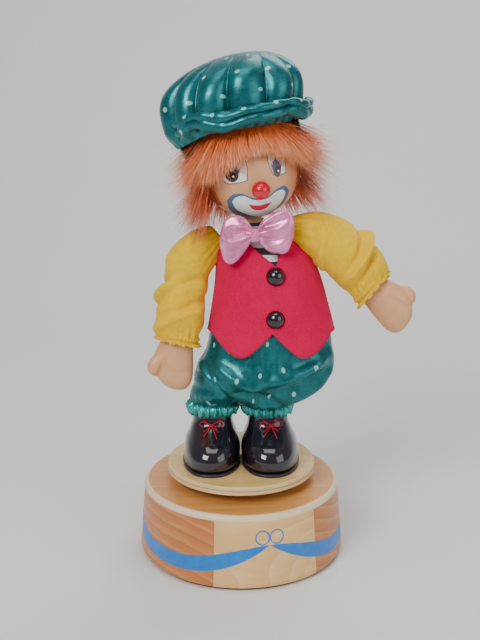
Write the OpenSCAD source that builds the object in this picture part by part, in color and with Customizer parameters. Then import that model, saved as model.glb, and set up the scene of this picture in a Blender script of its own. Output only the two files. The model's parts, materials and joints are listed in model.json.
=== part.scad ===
// Wind-up musical clown: a cloth doll that turns on a wooden drum with a
// pinned-cylinder music movement inside. Z up, millimetres, origin on the
// turning axis at the plane the drum stands on. +X is the clown's left.

/* [Drum] */
// Largest radius of the drum, just above its foot
drum_r = 48; // [46:0.5:60]
// Radius of the drum at the lower end of its top edge
drum_top_r = 45.6; // [45:0.5:60]
// Height of the drum's top face above its bottom board
drum_h = 22; // [21:0.5:32]
// Round-over of the drum's top edge
drum_edge = 2.6; // [1:0.1:4]
// Thickness of the wood over the movement
roof_t = 5; // [3:0.5:7]
// Thickness of the drum's side wall at the movement
wall_t = 6.6; // [5:0.2:7]
// Depth of the hollow under the bottom board, which holds the key
key_well_h = 9; // [8.5:0.5:12]
// Thickness of the bottom board
board_t = 3; // [2:0.5:4]
// Thickness of the felt ring glued under the drum
felt_t = 1; // [0.5:0.1:2]

/* [Turntable] */
// Radius of the turning disc
disc_r = 34.6; // [32:0.2:40]
// Thickness of the turning disc
disc_t = 4; // [3:0.2:6]
// Gap between the drum and the disc
disc_gap = 4.5; // [3:0.1:8]
// Radius of the spindle that carries the disc
spindle_r = 2; // [1.5:0.1:3]

/* [Movement] */
// Tooth size of the crown wheel and the cylinder pinion
crown_module = 0.5; // [0.48:0.01:0.52]
// Teeth on the crown wheel
crown_teeth = 48; // [44:2:50]
// Teeth on the cylinder pinion
pinion_teeth = 16; // [14:2:16]
// Radius of the pinned cylinder
cylinder_r = 5.2; // [4.5:0.1:5.3]
// Length of the pinned cylinder
cylinder_len = 12.6; // [10:0.1:14]
// Tooth size of the governor train
train_module = 0.3; // [0.28:0.01:0.32]
// Teeth on the cylinder's large gear
train_gear_teeth = 40; // [36:2:42]
// Teeth on the governor pinion
train_pinion_teeth = 10; // [10:2:12]
// Teeth on the worm wheel
worm_wheel_teeth = 15; // [13:2:15]
// Number of comb teeth
comb_teeth = 18; // [12:1:22]

/* [Clown] */
// Width of one shoe across the toe
shoe_w = 26.6; // [24:0.2:28]
// Length of one shoe
shoe_len = 37; // [32:0.5:40]
// Height of one shoe
shoe_h = 25.5; // [22:0.5:28]
// Radius of the shoe's ankle
ankle_r = 9.3; // [8:0.1:10]
// Height of the waist above the disc
waist_above_disc = 56.5; // [54:0.5:64]
// Half the width of the stuffed body
chest_rx = 27.4; // [24:0.2:30]
// Half the depth of the stuffed body
chest_ry = 18.6; // [16:0.2:22]
// Height of the stuffed body from waist to neck
chest_h = 57; // [52:0.5:62]
// How far the neck stands to the side of the waist
body_sway = 9; // [0:0.5:11]
// Thickness of the felt vest
vest_t = 1.2; // [0.8:0.1:2]
// Radius of the head
head_r = 20; // [18:0.2:23]
// Thickness of the fur wig on the head
wig_t = 9; // [6:0.5:11]
// Radius of the red nose
nose_r = 4; // [3:0.1:5]
// Radius of the vest's round buttons
button_r = 4.3; // [3:0.1:5]
// Radius of the sleeve's ball at the shoulder
shoulder_r = 9.5; // [8:0.1:11]

/* [Hidden] */

clearance = 0.3;         // between soft pieces and hard ones
running = 0.06;          // radial clearance of a shaft in its bearing
soft_fn = 32;            // sides of the plain soft forms

// Drum heights
drum_foot_z = felt_t;
board_z = felt_t + key_well_h;
bed_z = board_z + board_t;
drum_top = bed_z + drum_h;
roof_z = drum_top - roof_t;
cavity_r = min(drum_top_r, drum_r - 0.4) - wall_t;   // the wall is wall_t thick at its thinner end
board_r = cavity_r + 2.8;
board_screw_at = cavity_r + 1.3;
board_screw_r = 0.7;
board_screw_grip = 3;    // how far the board screws run into the wall
disc_z = drum_top + disc_gap;
disc_top = disc_z + disc_t;

// Movement heights and places
bed_t = 2;
works_z = bed_z + bed_t;
crown_r = crown_module * crown_teeth / 2;
crown_z = works_z + 1.0;
crown_flange_t = 1.2;
crown_face = 1.6;        // radial width of the crown teeth
crown_tooth_h = 2 * crown_module;
pinion_r = crown_module * pinion_teeth / 2;
shaft_z = crown_z + crown_flange_t + crown_tooth_h * 0.55 + pinion_r;
barrel_r = crown_r - crown_face / 2 - 0.8;
barrel_top = crown_z + 9.2;
lid_t = 1;
shaft_r = 0.9;
near_x = crown_r + crown_face / 2 + 0.9;
bearing_t = 1.2;
cylinder_x = near_x + bearing_t + 0.5;
gear_x = cylinder_x + cylinder_len + 0.4;
gear_t = 1.2;
train_gear_r = train_module * train_gear_teeth / 2;
train_pinion_r = train_module * train_pinion_teeth / 2;
governor_y = train_gear_r + train_pinion_r;
wheel_x = gear_x + gear_t + 0.6;
wheel_t = 1.0;
worm_wheel_r = 3.5;
worm_pitch = 2 * PI * worm_wheel_r / worm_wheel_teeth;
worm_r = 1.3;
worm_x = wheel_x + wheel_t / 2;
worm_y = governor_y + worm_wheel_r + worm_r;
worm_len = 4.4;
far_x = wheel_x + wheel_t + 0.7;
worm_tip_r = 1.75;
bracket_x = max(far_x, worm_x + worm_tip_r + 0.3);
arbor_r = 1.6;
clutch_wire_r = 0.28;
key_hole_r = arbor_r + 2 * clutch_wire_r + 0.35;
worm_shaft_r = 0.5;

// Clown places
waist = [13.5, 1, disc_top + waist_above_disc];
ankle_x = [shoe_w * 0.45, -shoe_w * 0.495];   // left, right
ankle_y = 2;
toe_turn = 3;
shoe_screw_r = 1.2;
shoe_screw_head_r = 2.4;
dowel_r = 2.6;
hips_top = waist[2] - 4.4;
neck_r = 5;
head_tilt = 9;
head_turn_rest = 11;
neck_axis = [waist[0] - body_sway, -0.5];
head_c = [neck_axis[0], -1, waist[2] + chest_h + head_r + 0.5];
shoulder_l = [30.5, 0.5, waist[2] + chest_h * 0.87];
shoulder_r_pos = [-19.5, 0.5, waist[2] + chest_h * 0.785];
cuff_l = [57.5, -5.5, waist[2] + 27.5];
cuff_r = [-28.6, -5, waist[2] + 4.5];
wire_r = 0.7;
torso_sections = [            // height share, width share, depth share
  [-0.07, 1, 1], [0.14, 0.985, 1], [0.30, 0.915, 0.99], [0.48, 0.83, 0.95], [0.62, 0.765, 0.87],
  [0.69, 0.735, 0.815], [0.75, 0.70, 0.75], [0.81, 0.635, 0.68], [0.86, 0.56, 0.60],
  [0.94, 0.34, 0.46], [0.99, 0.27, 0.40]
];
function sway(share) = share > 0 ? -body_sway * pow(share, 3) : 0;

// ---------- shared shapes ----------

function oval_ring(z, cx, cy, rx, ry, n = soft_fn) =
  [for (i = [0:n - 1]) [cx + rx * cos(360 * i / n), cy + ry * sin(360 * i / n), z]];

// A ring of points round a centre, square to a direction
function turned_ring(c, d, rx, ry, n = soft_fn) =
  let (w = d / norm(d), u0 = cross([0, 1, 0], w), u = u0 / norm(u0), v = cross(w, u))
  [for (i = [0:n - 1]) c + u * rx * cos(360 * i / n) + v * ry * sin(360 * i / n)];

// A closed solid through rings that all have the same number of points. A
// looped skin runs from its last ring back to its first, as a band does.
module skin(rings, looped = false) {
  n = len(rings[0]);
  m = len(rings);
  last = looped ? m - 1 : m - 2;
  sides = [for (j = [0:last], i = [0:n - 1])
    let (k = (i + 1) % n, low = j * n, up = (j + 1) % m * n, f = [low + i, up + k, low + k])
    [f, [low + i, up + i, up + k]]];
  caps = looped ? [] : concat(
    [for (i = [1:n - 2]) [0, i, i + 1]],
    [for (i = [1:n - 2]) [(m - 1) * n, (m - 1) * n + i + 1, (m - 1) * n + i]]);
  polyhedron(points = [for (r = rings, p = r) p],
             faces = concat([for (s = sides, f = s) f], caps));
}

// Hands its children to the mesh engine as one piece
module soft() {
  resize([0, 0, 0]) children();
}

// Straight-sided gear outline with backlash
module gear_outline(teeth, module_size, tip = 0.8, root = 1.2, share = 0.38) {
  r = module_size * teeth / 2;
  half = 360 / teeth * share / 2;
  ro = r + tip * module_size;
  ri = r - root * module_size;
  polygon([for (i = [0:teeth - 1], p = [[ri, -1.45], [ro, -0.5], [ro, 0.5], [ri, 1.45]])
    let (a = 360 * i / teeth + p[1] * half) p[0] * [cos(a), sin(a)]]);
}

// A screw with its head down, its shank pointing up
module screw(head_r, head_t, shank_r, shank_len) {
  difference() {
    cylinder(r = head_r, h = head_t, $fn = 32);
    translate([-head_r, -0.3, -0.01]) cube([2 * head_r, 0.6, 0.5]);
  }
  translate([0, 0, head_t - 0.01]) cylinder(r = shank_r, h = shank_len, $fn = 24);
}

module along_x(x, y, z) {
  translate([x, y, z]) rotate([0, 90, 0]) children();
}

// ---------- drum ----------

lid_seat = drum_top - drum_edge;   // where the top board's edge rests on the wall

module drum() {
  color("burlywood") difference() {
    rotate_extrude($fn = 120) difference() {
      polygon([[0, drum_foot_z], [drum_r - 1.8, drum_foot_z], [drum_r - 0.5, drum_foot_z + 0.7],
        [drum_r, drum_foot_z + 2.4], [drum_top_r, lid_seat], [0, lid_seat]]);
      translate([0, -1]) square([board_r, bed_z + 1]);
      translate([0, -1]) square([cavity_r, drum_top + 2]);
    }
    for (a = [60:120:300]) rotate(a) translate([board_screw_at, 0, bed_z - 0.01])
      cylinder(r = board_screw_r + 0.02, h = board_screw_grip + 0.4, $fn = 24);
  }
}

// The top board: its rim lies on the wall and its plug fills the hollow's top
module drum_lid() {
  color("burlywood") rotate_extrude($fn = 120) difference() {
    union() {
      translate([0, roof_z]) square([cavity_r - 0.08, roof_t - drum_edge + 0.01]);
      translate([0, lid_seat]) square([drum_top_r - drum_edge, drum_edge]);
      intersection() {
        translate([drum_top_r - drum_edge, lid_seat]) circle(r = drum_edge, $fn = 40);
        translate([0, lid_seat]) square([drum_top_r, drum_edge]);
      }
    }
    translate([-1, 0]) square([spindle_r + 2.4, drum_top + 1]);
  }
}

module felt_ring() {
  color("darkgreen") difference() {
    cylinder(r = drum_r - 2.6, h = felt_t, $fn = 96);
    translate([0, 0, -1]) cylinder(r = board_r + 0.6, h = felt_t + 2, $fn = 96);
  }
}

module bottom_board() {
  color("peru") difference() {
    translate([0, 0, board_z]) cylinder(r = board_r - 0.15, h = board_t - 0.02, $fn = 96);
    translate([0, 0, board_z - 1]) cylinder(r = key_hole_r + 1.6, h = board_t + 2, $fn = 40);
    for (p = bedplate_holes()) translate([p[0], p[1], board_z - 1])
      cylinder(r = 1.2, h = board_t + 2, $fn = 24);
    for (a = [60:120:300]) rotate(a) translate([board_screw_at, 0, board_z - 1])
      cylinder(r = board_screw_r + 0.2, h = board_t + 2, $fn = 20);
  }
}

module board_screws() {
  color("goldenrod") for (a = [60:120:300]) rotate(a)
    translate([board_screw_at, 0, board_z - 0.82])
      screw(1.3, 0.8, board_screw_r, board_t + board_screw_grip);
}

module key_bush() {
  color("silver") difference() {
    union() {
      translate([0, 0, board_z - 0.6]) cylinder(r = key_hole_r + 3, h = 0.58, $fn = 48);
      translate([0, 0, board_z - 0.1]) cylinder(r = key_hole_r + 1.5, h = board_t, $fn = 48);
    }
    translate([0, 0, board_z - 2]) cylinder(r = key_hole_r, h = board_t + 4, $fn = 48);
  }
}

// ---------- music movement ----------

function bedplate_holes() = [[-10, 11], [-10, -11], [20, -16.5], [20, 16.5]];

module bedplate() {
  color("gainsboro") difference() {
    translate([0, 0, bed_z]) linear_extrude(bed_t)
      polygon([[-14.5, -12], [-9, -17.5], [14, -20], [26, -20], [34.5, -12],
        [34.5, 14.6], [31, 18], [18, 20], [-9, 17.5], [-14.5, 12]]);
    translate([0, 0, bed_z - 1]) cylinder(r = arbor_r + running, h = bed_t + 2, $fn = 40);
    for (p = bedplate_holes()) translate([p[0], p[1], bed_z - 1])
      cylinder(r = 0.95, h = bed_t + 2, $fn = 20);
    translate([worm_x, worm_y, bed_z + 0.6]) cylinder(r = worm_shaft_r + running, h = bed_t, $fn = 20);
  }
}

module bedplate_screws() {
  color("silver") for (p = bedplate_holes())
    translate([p[0], p[1], board_z - 0.92]) screw(2, 0.9, 0.9, board_t + bed_t - 0.2);
}

module bearing(x) {
  difference() {
    union() {
      translate([x, -3, works_z]) cube([bearing_t, 6, shaft_z - works_z]);
      along_x(x, 0, shaft_z) cylinder(r = 3, h = bearing_t, $fn = 40);
    }
    along_x(x - 1, 0, shaft_z) cylinder(r = shaft_r + running, h = bearing_t + 2, $fn = 32);
  }
}

module bearings() {
  color("gold") for (x = [near_x, far_x]) bearing(x);
}

comb_tip_y = -(cylinder_r + 0.75);
comb_root_y = -11;
comb_back_y = -17.5;
comb_z = shaft_z - 0.2;
comb_t = 0.8;
comb_pitch = cylinder_len / (comb_teeth + 1);
comb_screw_x = [cylinder_x + 3, cylinder_x + cylinder_len - 3];

module comb() {
  color("lightsteelblue") difference() {
    union() {
      translate([cylinder_x, comb_back_y, comb_z])
        cube([cylinder_len, comb_root_y - comb_back_y, comb_t]);
      for (i = [1:comb_teeth])
        translate([cylinder_x + i * comb_pitch - 0.2, comb_root_y - 0.01, comb_z])
          cube([0.4, comb_tip_y - comb_root_y, comb_t * 0.6]);
    }
    for (x = comb_screw_x) translate([x, -14.4, comb_z - 1]) cylinder(r = 0.95, h = 4, $fn = 20);
  }
}

module comb_block() {
  color("gainsboro") difference() {
    translate([cylinder_x, comb_back_y, works_z])
      cube([cylinder_len, comb_root_y - comb_back_y - 0.6, comb_z - works_z]);
    for (x = comb_screw_x) translate([x, -14.4, comb_z - 3.5]) cylinder(r = 0.9, h = 5, $fn = 20);
  }
}

module comb_screws() {
  color("silver") for (x = comb_screw_x)
    translate([x, -14.4, comb_z + comb_t + 0.92]) rotate([180, 0, 0]) screw(1.6, 0.9, 0.85, 3.4);
}

// The cylinder with the pins that pluck the comb
module cylinder_barrel() {
  pins = 3;
  color("goldenrod") difference() {
    union() {
      along_x(cylinder_x, 0, shaft_z) cylinder(r = cylinder_r, h = cylinder_len, $fn = 64);
      for (i = [1:comb_teeth], k = [0:pins - 1])
        along_x(cylinder_x + i * comb_pitch, 0, shaft_z)
          rotate(360 * ((k * 7 + i * 5) % 23) / 23 + 8) translate([cylinder_r - 0.3, 0, 0])
            rotate([0, 90, 0]) cylinder(r = 0.15, h = 0.7, $fn = 16);
    }
    along_x(cylinder_x - 1, 0, shaft_z) cylinder(r = shaft_r + 0.02, h = cylinder_len + 2, $fn = 32);
  }
}

module cylinder_shaft() {
  color("silver") along_x(near_x - 3.1, 0, shaft_z)
    cylinder(r = shaft_r, h = far_x + bearing_t + 0.5 - near_x + 3.1, $fn = 32);
}

module shaft_gear(x, y, t, bore_r) {
  along_x(x, y, shaft_z) difference() {
    linear_extrude(t) children();
    translate([0, 0, -1]) cylinder(r = bore_r, h = t + 2, $fn = 32);
  }
}

module cylinder_pinion() {
  color("gold") shaft_gear(crown_r - crown_face / 2, 0, crown_face, shaft_r + 0.02)
    rotate(180 / pinion_teeth) gear_outline(pinion_teeth, crown_module);
}

module cylinder_gear() {
  color("gold") shaft_gear(gear_x, 0, gear_t, shaft_r + 0.02)
    rotate(90) gear_outline(train_gear_teeth, train_module);
}

module governor_pinion() {
  color("gold") {
    shaft_gear(gear_x, governor_y, gear_t, 0.52)
      rotate(90 + 180 / train_pinion_teeth) gear_outline(train_pinion_teeth, train_module);
    along_x(gear_x - 0.3, governor_y, shaft_z)
      cylinder(r = 0.5, h = bracket_x + bearing_t + 0.3 - gear_x, $fn = 24);
  }
}

module governor_wheel() {
  m = 2 * worm_wheel_r / worm_wheel_teeth;
  color("gold") shaft_gear(wheel_x, governor_y, wheel_t, 0.52)
    rotate(90) gear_outline(worm_wheel_teeth, m, tip = 0.55, root = 1.0, share = 0.3);
}

module governor_bracket() {
  top = shaft_z + worm_len / 2 + 1.0;
  color("gainsboro") {
    difference() {
      translate([bracket_x, governor_y - 2, works_z])
        cube([bearing_t, worm_y - governor_y + 4, top - works_z + 0.8]);
      along_x(bracket_x - 1, governor_y, shaft_z) cylinder(r = 0.5 + running, h = 4, $fn = 24);
    }
    difference() {
      translate([worm_x - 1.6, worm_y - 1.6, top]) cube([bracket_x - worm_x + 1.61, 3.2, 0.8]);
      translate([worm_x, worm_y, top - 1]) cylinder(r = worm_shaft_r + running, h = 4, $fn = 24);
    }
    difference() {
      translate([gear_x - 1.4, governor_y - 1.2, works_z]) cube([1, 3, shaft_z - works_z + 1.6]);
      along_x(gear_x - 2, governor_y, shaft_z) cylinder(r = 0.5 + running, h = 4, $fn = 24);
    }
  }
}

// One thread whose lead is the wheel's tooth pitch
module worm() {
  z0 = shaft_z - worm_len / 2;
  turns = worm_len / worm_pitch;
  start = -90 - 360 * (worm_len / 2 + worm_pitch / 2) / worm_pitch;
  color("white") soft() translate([worm_x, worm_y, z0]) difference() {
    rotate(start) linear_extrude(worm_len, twist = -360 * turns, slices = 42) union() {
      circle(r = 0.85, $fn = 12);
      polygon([[0, 0], for (a = [-38:38:38]) worm_tip_r * [cos(a), sin(a)]]);
    }
    translate([0, 0, -1]) cylinder(r = worm_shaft_r + 0.02, h = worm_len + 2, $fn = 12);
  }
}

module worm_shaft() {
  color("silver") translate([worm_x, worm_y, bed_z + 0.7])
    cylinder(r = worm_shaft_r, h = fan_top - bed_z - 1.0, $fn = 24);
}

fan_z = shaft_z + worm_len / 2 + 2.1;
fan_top = fan_z + 2.6;

module fan() {
  color("ivory") translate([worm_x, worm_y, fan_z]) difference() {
    union() {
      cylinder(r = 1.2, h = 2.6, $fn = 24);
      rotate(20) translate([-3.4, -0.25, 0]) cube([6.8, 0.5, 2.6]);
    }
    translate([0, 0, -1]) cylinder(r = worm_shaft_r + 0.02, h = 3.3, $fn = 24);
  }
}

// ---------- key and mainspring ----------

key_z = felt_t + 0.8;

module winding_key() {
  color("silver") {
    difference() {
      translate([0, 0, key_z]) cylinder(r = 2.6, h = board_z - 0.9 - key_z, $fn = 40);
      translate([0, 0, key_z + 2]) cylinder(r = arbor_r + 0.02, h = 20, $fn = 40);
    }
    for (s = [0, 180]) rotate(s) translate([0, 0, key_z + 3.2]) rotate([90, 0, 0])
      translate([0, 0, -0.6]) linear_extrude(1.2) difference() {
        union() {
          translate([7.6, 0]) circle(r = 3.2, $fn = 40);
          translate([2.2, -1.3]) square([4, 2.6]);
        }
        translate([7.9, 0]) circle(r = 1.5, $fn = 32);
      }
  }
}

module winding_arbor() {
  color("silver") {
    translate([0, 0, key_z + 2.05]) cylinder(r = arbor_r, h = barrel_top - key_z - 2.6, $fn = 40);
  }
}

// A wrapped spring that lets the arbor turn one way only
module clutch_spring() {
  turns = 3.5;
  steps = turns * 14;
  r = key_hole_r - clutch_wire_r - 0.02;
  rise = min(2.4 * clutch_wire_r, (board_t - 0.5 - 2 * clutch_wire_r - 0.1) / turns);
  color("dimgray") translate([0, 0, board_z + clutch_wire_r + 0.3]) skin([for (k = [steps:-1:0])
    [for (i = [0:7]) let (a = 360 * turns * k / steps, w = clutch_wire_r)
      [(r + w * cos(45 * i)) * cos(a), (r + w * cos(45 * i)) * sin(a),
       rise * turns * k / steps + w * sin(45 * i)]]]);
}

module crown_tooth_ridge() {
  half = 360 / crown_teeth * 0.38 / 2;
  w = crown_r * sin(half);
  translate([crown_r - crown_face / 2, 0, 0]) rotate([90, 0, 90])
    linear_extrude(crown_face) polygon([[-w * 1.45, -0.02], [w * 1.45, -0.02],
      [w * 0.5, crown_tooth_h], [-w * 0.5, crown_tooth_h]]);
}

module spring_barrel() {
  color("gold") {
    difference() {
      union() {
        translate([0, 0, crown_z]) cylinder(r = crown_r + crown_face / 2, h = crown_flange_t, $fn = 96);
        translate([0, 0, crown_z]) cylinder(r = barrel_r, h = barrel_top - crown_z, $fn = 96);
      }
      translate([0, 0, crown_z + 1]) cylinder(r = barrel_r - 0.8, h = 20, $fn = 96);
      translate([0, 0, crown_z - 1]) cylinder(r = arbor_r + running, h = 20, $fn = 40);
    }
    for (i = [0:crown_teeth - 1]) rotate(360 * i / crown_teeth)
      translate([0, 0, crown_z + crown_flange_t]) crown_tooth_ridge();
  }
}

module barrel_lid() {
  color("gold") {
    translate([0, 0, barrel_top + 0.01]) cylinder(r = barrel_r, h = lid_t, $fn = 96);
    translate([0, 0, barrel_top + 0.5])
      cylinder(r = spindle_r, h = disc_top - 0.6 - barrel_top - 0.5, $fn = 48);
  }
}

module mainspring() {
  turns = 7;
  r0 = arbor_r + 0.7;
  r1 = barrel_r - 1.4;
  steps = turns * 18;
  path = [for (i = [0:steps]) let (a = 360 * turns * i / steps, r = r0 + (r1 - r0) * i / steps) [r, a]];
  t = 0.25;
  color("steelblue") translate([0, 0, crown_z + 1.3]) linear_extrude(barrel_top - crown_z - 1.8)
    polygon(concat([for (p = path) (p[0] + t) * [cos(p[1]), sin(p[1])]],
      [for (i = [steps:-1:0]) (path[i][0] - t) * [cos(path[i][1]), sin(path[i][1])]]));
}

// ---------- turntable ----------

module spindle_nut() {
  color("silver") difference() {
    translate([0, 0, disc_top - 2.2]) cylinder(r = spindle_r + 1.6, h = 1.9, $fn = 6);
    translate([0, 0, disc_top - 4]) cylinder(r = spindle_r + 0.02, h = 6, $fn = 40);
  }
}

module disc_hub() {
  color("silver") difference() {
    union() {
      translate([0, 0, disc_z - 1.2]) cylinder(r = 11, h = 1.18, $fn = 64);
      translate([0, 0, drum_top + 1.0]) cylinder(r = spindle_r + 2, h = disc_gap - 1.1, $fn = 48);
    }
    translate([0, 0, drum_top - 2]) cylinder(r = spindle_r + 0.02, h = 10, $fn = 40);
    for (a = [30:120:270]) rotate(a) translate([8, 0, disc_z - 3]) cylinder(r = 0.9, h = 5, $fn = 20);
    for (x = ankle_x) translate([x, ankle_y, disc_z - 3])
      cylinder(r = shoe_screw_head_r + 0.2, h = 5, $fn = 32);
  }
}

module hub_screws() {
  color("silver") for (a = [30:120:270]) rotate(a)
    translate([8, 0, disc_z - 2.1]) screw(1.6, 0.88, 0.8, 3.4);
}

module turning_disc() {
  lip = 0.5;
  color("wheat") difference() {
    rotate_extrude($fn = 120) difference() {
      union() {
        translate([0, disc_z]) square([disc_r - lip, disc_t]);
        translate([0, disc_z + lip]) square([disc_r, disc_t / 2 - 1.5 * lip]);
        translate([0, disc_z + disc_t / 2 + lip / 2]) square([disc_r - 0.2, disc_t / 2 - 1.5 * lip]);
        translate([disc_r - lip, disc_z + lip]) circle(r = lip, $fn = 24);
        translate([disc_r - lip - 0.2, disc_top - lip]) circle(r = lip, $fn = 24);
      }
      translate([-1, 0]) square([spindle_r + 1.15, 100]);
      translate([-1, disc_top - 2.3]) square([spindle_r + 2.8, 3]);
    }
    for (a = [30:120:270]) rotate(a) translate([8, 0, disc_z - 1]) cylinder(r = 0.85, h = 4, $fn = 20);
    for (x = ankle_x) translate([x, ankle_y, disc_z - 1])
      cylinder(r = shoe_screw_r + 0.1, h = disc_t + 2, $fn = 24);
  }
}

module shoe_screws() {
  color("silver") for (x = ankle_x)
    translate([x, ankle_y, disc_z - 1.02]) screw(shoe_screw_head_r, 1, shoe_screw_r, disc_t + 6);
}

// ---------- shoes and legs ----------

sole_t = 1.3;
shoe_drift = [shoe_w * 0.065, -shoe_w * 0.027];
function shoe_ring(z, front, back, w, n = soft_fn) =
  [for (i = [0:n - 1]) let (a = 360 * i / n, s = sin(a))
    [w / 2 * cos(a) * (s > 0 ? 1 - 0.12 * s : 1 + 0.06 * abs(s)), s > 0 ? back * s : -front * abs(s), z]];

module at_foot(side) {
  translate([ankle_x[side], ankle_y, disc_top]) rotate(side == 0 ? toe_turn : -toe_turn / 3) children();
}

module shoe_form(side) {
  toe = shoe_len - ankle_r - 1.6;
  back = ankle_r + 1.6;
  rows = [[0, 0.93, 1, 0.985], [0.11, 1, 1, 1], [0.28, 0.97, 0.98, 0.985], [0.44, 0.79, 0.95, 0.91],
    [0.59, 0.44, 0.93, 0.80], [0.73, 0.175, 0.9, 0.715], [0.86, 0.04, 0.87, 0.685], [1, 0.02, 0.85, 0.675]];
  skin([for (r = rows)
    [for (p = shoe_ring(sole_t + (shoe_h - sole_t) * r[0], ankle_r + (toe - ankle_r) * r[1],
                        back * r[2], shoe_w * r[3]))
      p + [shoe_drift[side] * (1 - r[0]), 0, 0]]]);
}

module shoe(side) {
  color("black") at_foot(side) difference() {
    shoe_form(side);
    translate([0, 0, 6]) cylinder(r = dowel_r + 0.1, h = 40, $fn = 32);
    translate([0, 0, -1]) cylinder(r = shoe_screw_r + 0.02, h = 8, $fn = 32);
  }
}

module soles() {
  toe = shoe_len - ankle_r - 1.6;
  color("dimgray") for (side = [0, 1]) at_foot(side) difference() {
    translate([shoe_drift[side], 0, 0.02])
      skin([for (z = [0, sole_t - 0.06]) shoe_ring(z, toe * 0.985, ankle_r + 1.8, shoe_w)]);
    translate([0, 0, -1]) cylinder(r = shoe_screw_r + 0.1, h = 4, $fn = 24);
  }
}

// Plain flat bows where the tied laces lie
module laces() {
  color("crimson") for (side = [0, 1])
    at_foot(side) difference() {
      translate([shoe_drift[side] / 2, -ankle_r - 3.7, shoe_h * 0.753]) rotate([50, 0, 0])
        translate([0, 0, -0.4]) linear_extrude(2) union() {
          circle(r = 0.9, $fn = 20);
          for (s = [-1, 1]) {
            translate([s * 2.7, 0.6]) circle(r = 1.9, $fn = 24);
            polygon([[0, 0.6], [s * 0.7, 0.2], [s * 4.4, -5.2], [s * 3.6, -5.4]]);
          }
        }
      shoe_form(side);
    }
}

module leg_dowels() {
  color("tan") for (side = [0, 1])
    translate([ankle_x[side], ankle_y, disc_top + 8.6])
      cylinder(r = dowel_r, h = waist[2] - disc_top - 22, $fn = 32);
}

module trouser_form() {
  low = disc_top + shoe_h + 1.7;
  up = hips_top - low;
  skin([for (k = [[0.12, 0.5, 20, 12], [0.2, 3, 23.5, 15], [0.48, 6, 28, 19.5], [0.72, 9.6, 31, 21.5],
                  [0.86, 11.5, 31, 21.5], [0.96, 12.4, 28.2, 19.8], [1, 12.8, 25, 16.5]])
    oval_ring(low + up * k[0], k[1], 1, k[2], k[3])]);
  for (side = [0, 1]) let (x = ankle_x[side])
    skin([oval_ring(low, x, ankle_y, ankle_r + 0.4, ankle_r + 0.4),
      oval_ring(low + 2, x, ankle_y, ankle_r + 1.5, ankle_r + 2.2),
      oval_ring(low + 9, x * 0.9, 1, ankle_r + 1.4, 14)]);
}

module trousers() {
  color("teal") soft() difference() {
    trouser_form();
    for (side = [0, 1]) translate([ankle_x[side], ankle_y, 0])
      cylinder(r = dowel_r + 0.25, h = waist[2] - 13, $fn = 24);
  }
}

module trouser_frills() {
  top = disc_top + shoe_h + 1.4;
  color("darkcyan") for (side = [0, 1]) translate([ankle_x[side], ankle_y, 0]) difference() {
    translate([0, 0, top - 3.6]) cylinder(r1 = ankle_r + 2.3, r2 = ankle_r + 1.7, h = 3.5, $fn = 48);
    translate([0, 0, top - 5]) cylinder(r = ankle_r + 1.0, h = 6, $fn = 48);
  }
}

// ---------- body ----------

module at_waist() {
  translate(waist) children();
}

module torso_form(grow = 0, from = -1) {
  skin([for (s = torso_sections) if (s[0] > from)
    oval_ring(s[0] * chest_h, sway(s[0]), 0, chest_rx * s[1] + grow, chest_ry * s[2] + grow)]);
}

// Where the arms' balls turn
module shoulder_balls(grow) {
  for (p = [shoulder_l, shoulder_r_pos]) translate(p) sphere(r = shoulder_r + grow, $fn = soft_fn);
}

module neck_hole(r) {
  translate([neck_axis[0], neck_axis[1], waist[2] + chest_h - 14]) cylinder(r = r, h = 60, $fn = 32);
}

module striped_shirt() {
  color("whitesmoke") soft() difference() {
    at_waist() torso_form();
    shoulder_balls(clearance + 0.2);
    neck_hole(neck_r - 0.5 + clearance);
  }
}

// The vest is a band. Each column of it runs from the hem up to the neckline,
// and both of those follow how far the column stands from the front's middle.
vest_hem = 7;
vest_notch = [0.3, 9.6];       // place and height of the notch in the front hem
vest_v = [-1, chest_h * 0.68]; // place and height of the V's lowest point
vest_top = chest_h * 0.88;
vest_gap = clearance + 0.15;
vest_rows = [for (i = [0:13]) i / 13];
vest_columns = 56;

function width_at(u) = chest_rx * lookup(u, [for (s = torso_sections) [s[0], s[1]]]);
function depth_at(u) = chest_ry * lookup(u, [for (s = torso_sections) [s[0], s[2]]]);
function sway_at(u) = lookup(u, [for (s = torso_sections) [s[0], sway(s[0])]]);
function vest_flare(u) = lookup(u, [[-0.08, 3.6], [0, 3], [0.14, 0]]);
// The front hem: down from the notch to each point, then up to the side
function vest_low(x, front) =
  !front ? vest_hem : lookup(abs(x - vest_notch[0]),
    [[0, vest_notch[1]], [9.5, 0.2], [12, -1.6], [15, -1.4], [19, 0.6], [27, vest_hem]]);
function vest_high(x, front) =
  !front ? vest_top : min(vest_top, vest_v[1] + abs(x - vest_v[0]) * (x < vest_v[0] ? 1.15 : 1.9));
function vest_point(a, t, grow) =
  let (front = sin(a) < 0,
       low = vest_low((chest_rx + 2) * cos(a), front),
       high = vest_high(width_at(0.8) * cos(a) + sway(0.8), front),
       h = low + (high - low) * t, u = h / chest_h)
  [sway_at(u) + (width_at(u) + grow + vest_flare(u)) * cos(a),
   (depth_at(u) + grow + vest_flare(u)) * sin(a), h];

module vest() {
  angles = [for (i = [0:vest_columns - 1]) 360 * i / vest_columns];
  color("crimson") soft() difference() {
    at_waist() skin(looped = true, rings = concat(
      [for (t = vest_rows) [for (a = angles) vest_point(a, t, vest_gap + vest_t)]],
      [for (k = [len(vest_rows) - 1:-1:0]) [for (a = angles) vest_point(a, vest_rows[k], vest_gap)]]));
    shoulder_balls(clearance + 0.2);
  }
}

// A round cap cut from a ball, flat side at the origin, facing -Y
module dome(r, cut) {
  rotate([90, 0, 0]) rotate_extrude($fn = 48) intersection() {
    translate([0, -r * cut]) circle(r = r, $fn = 48);
    square([r, r]);
  }
}

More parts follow.
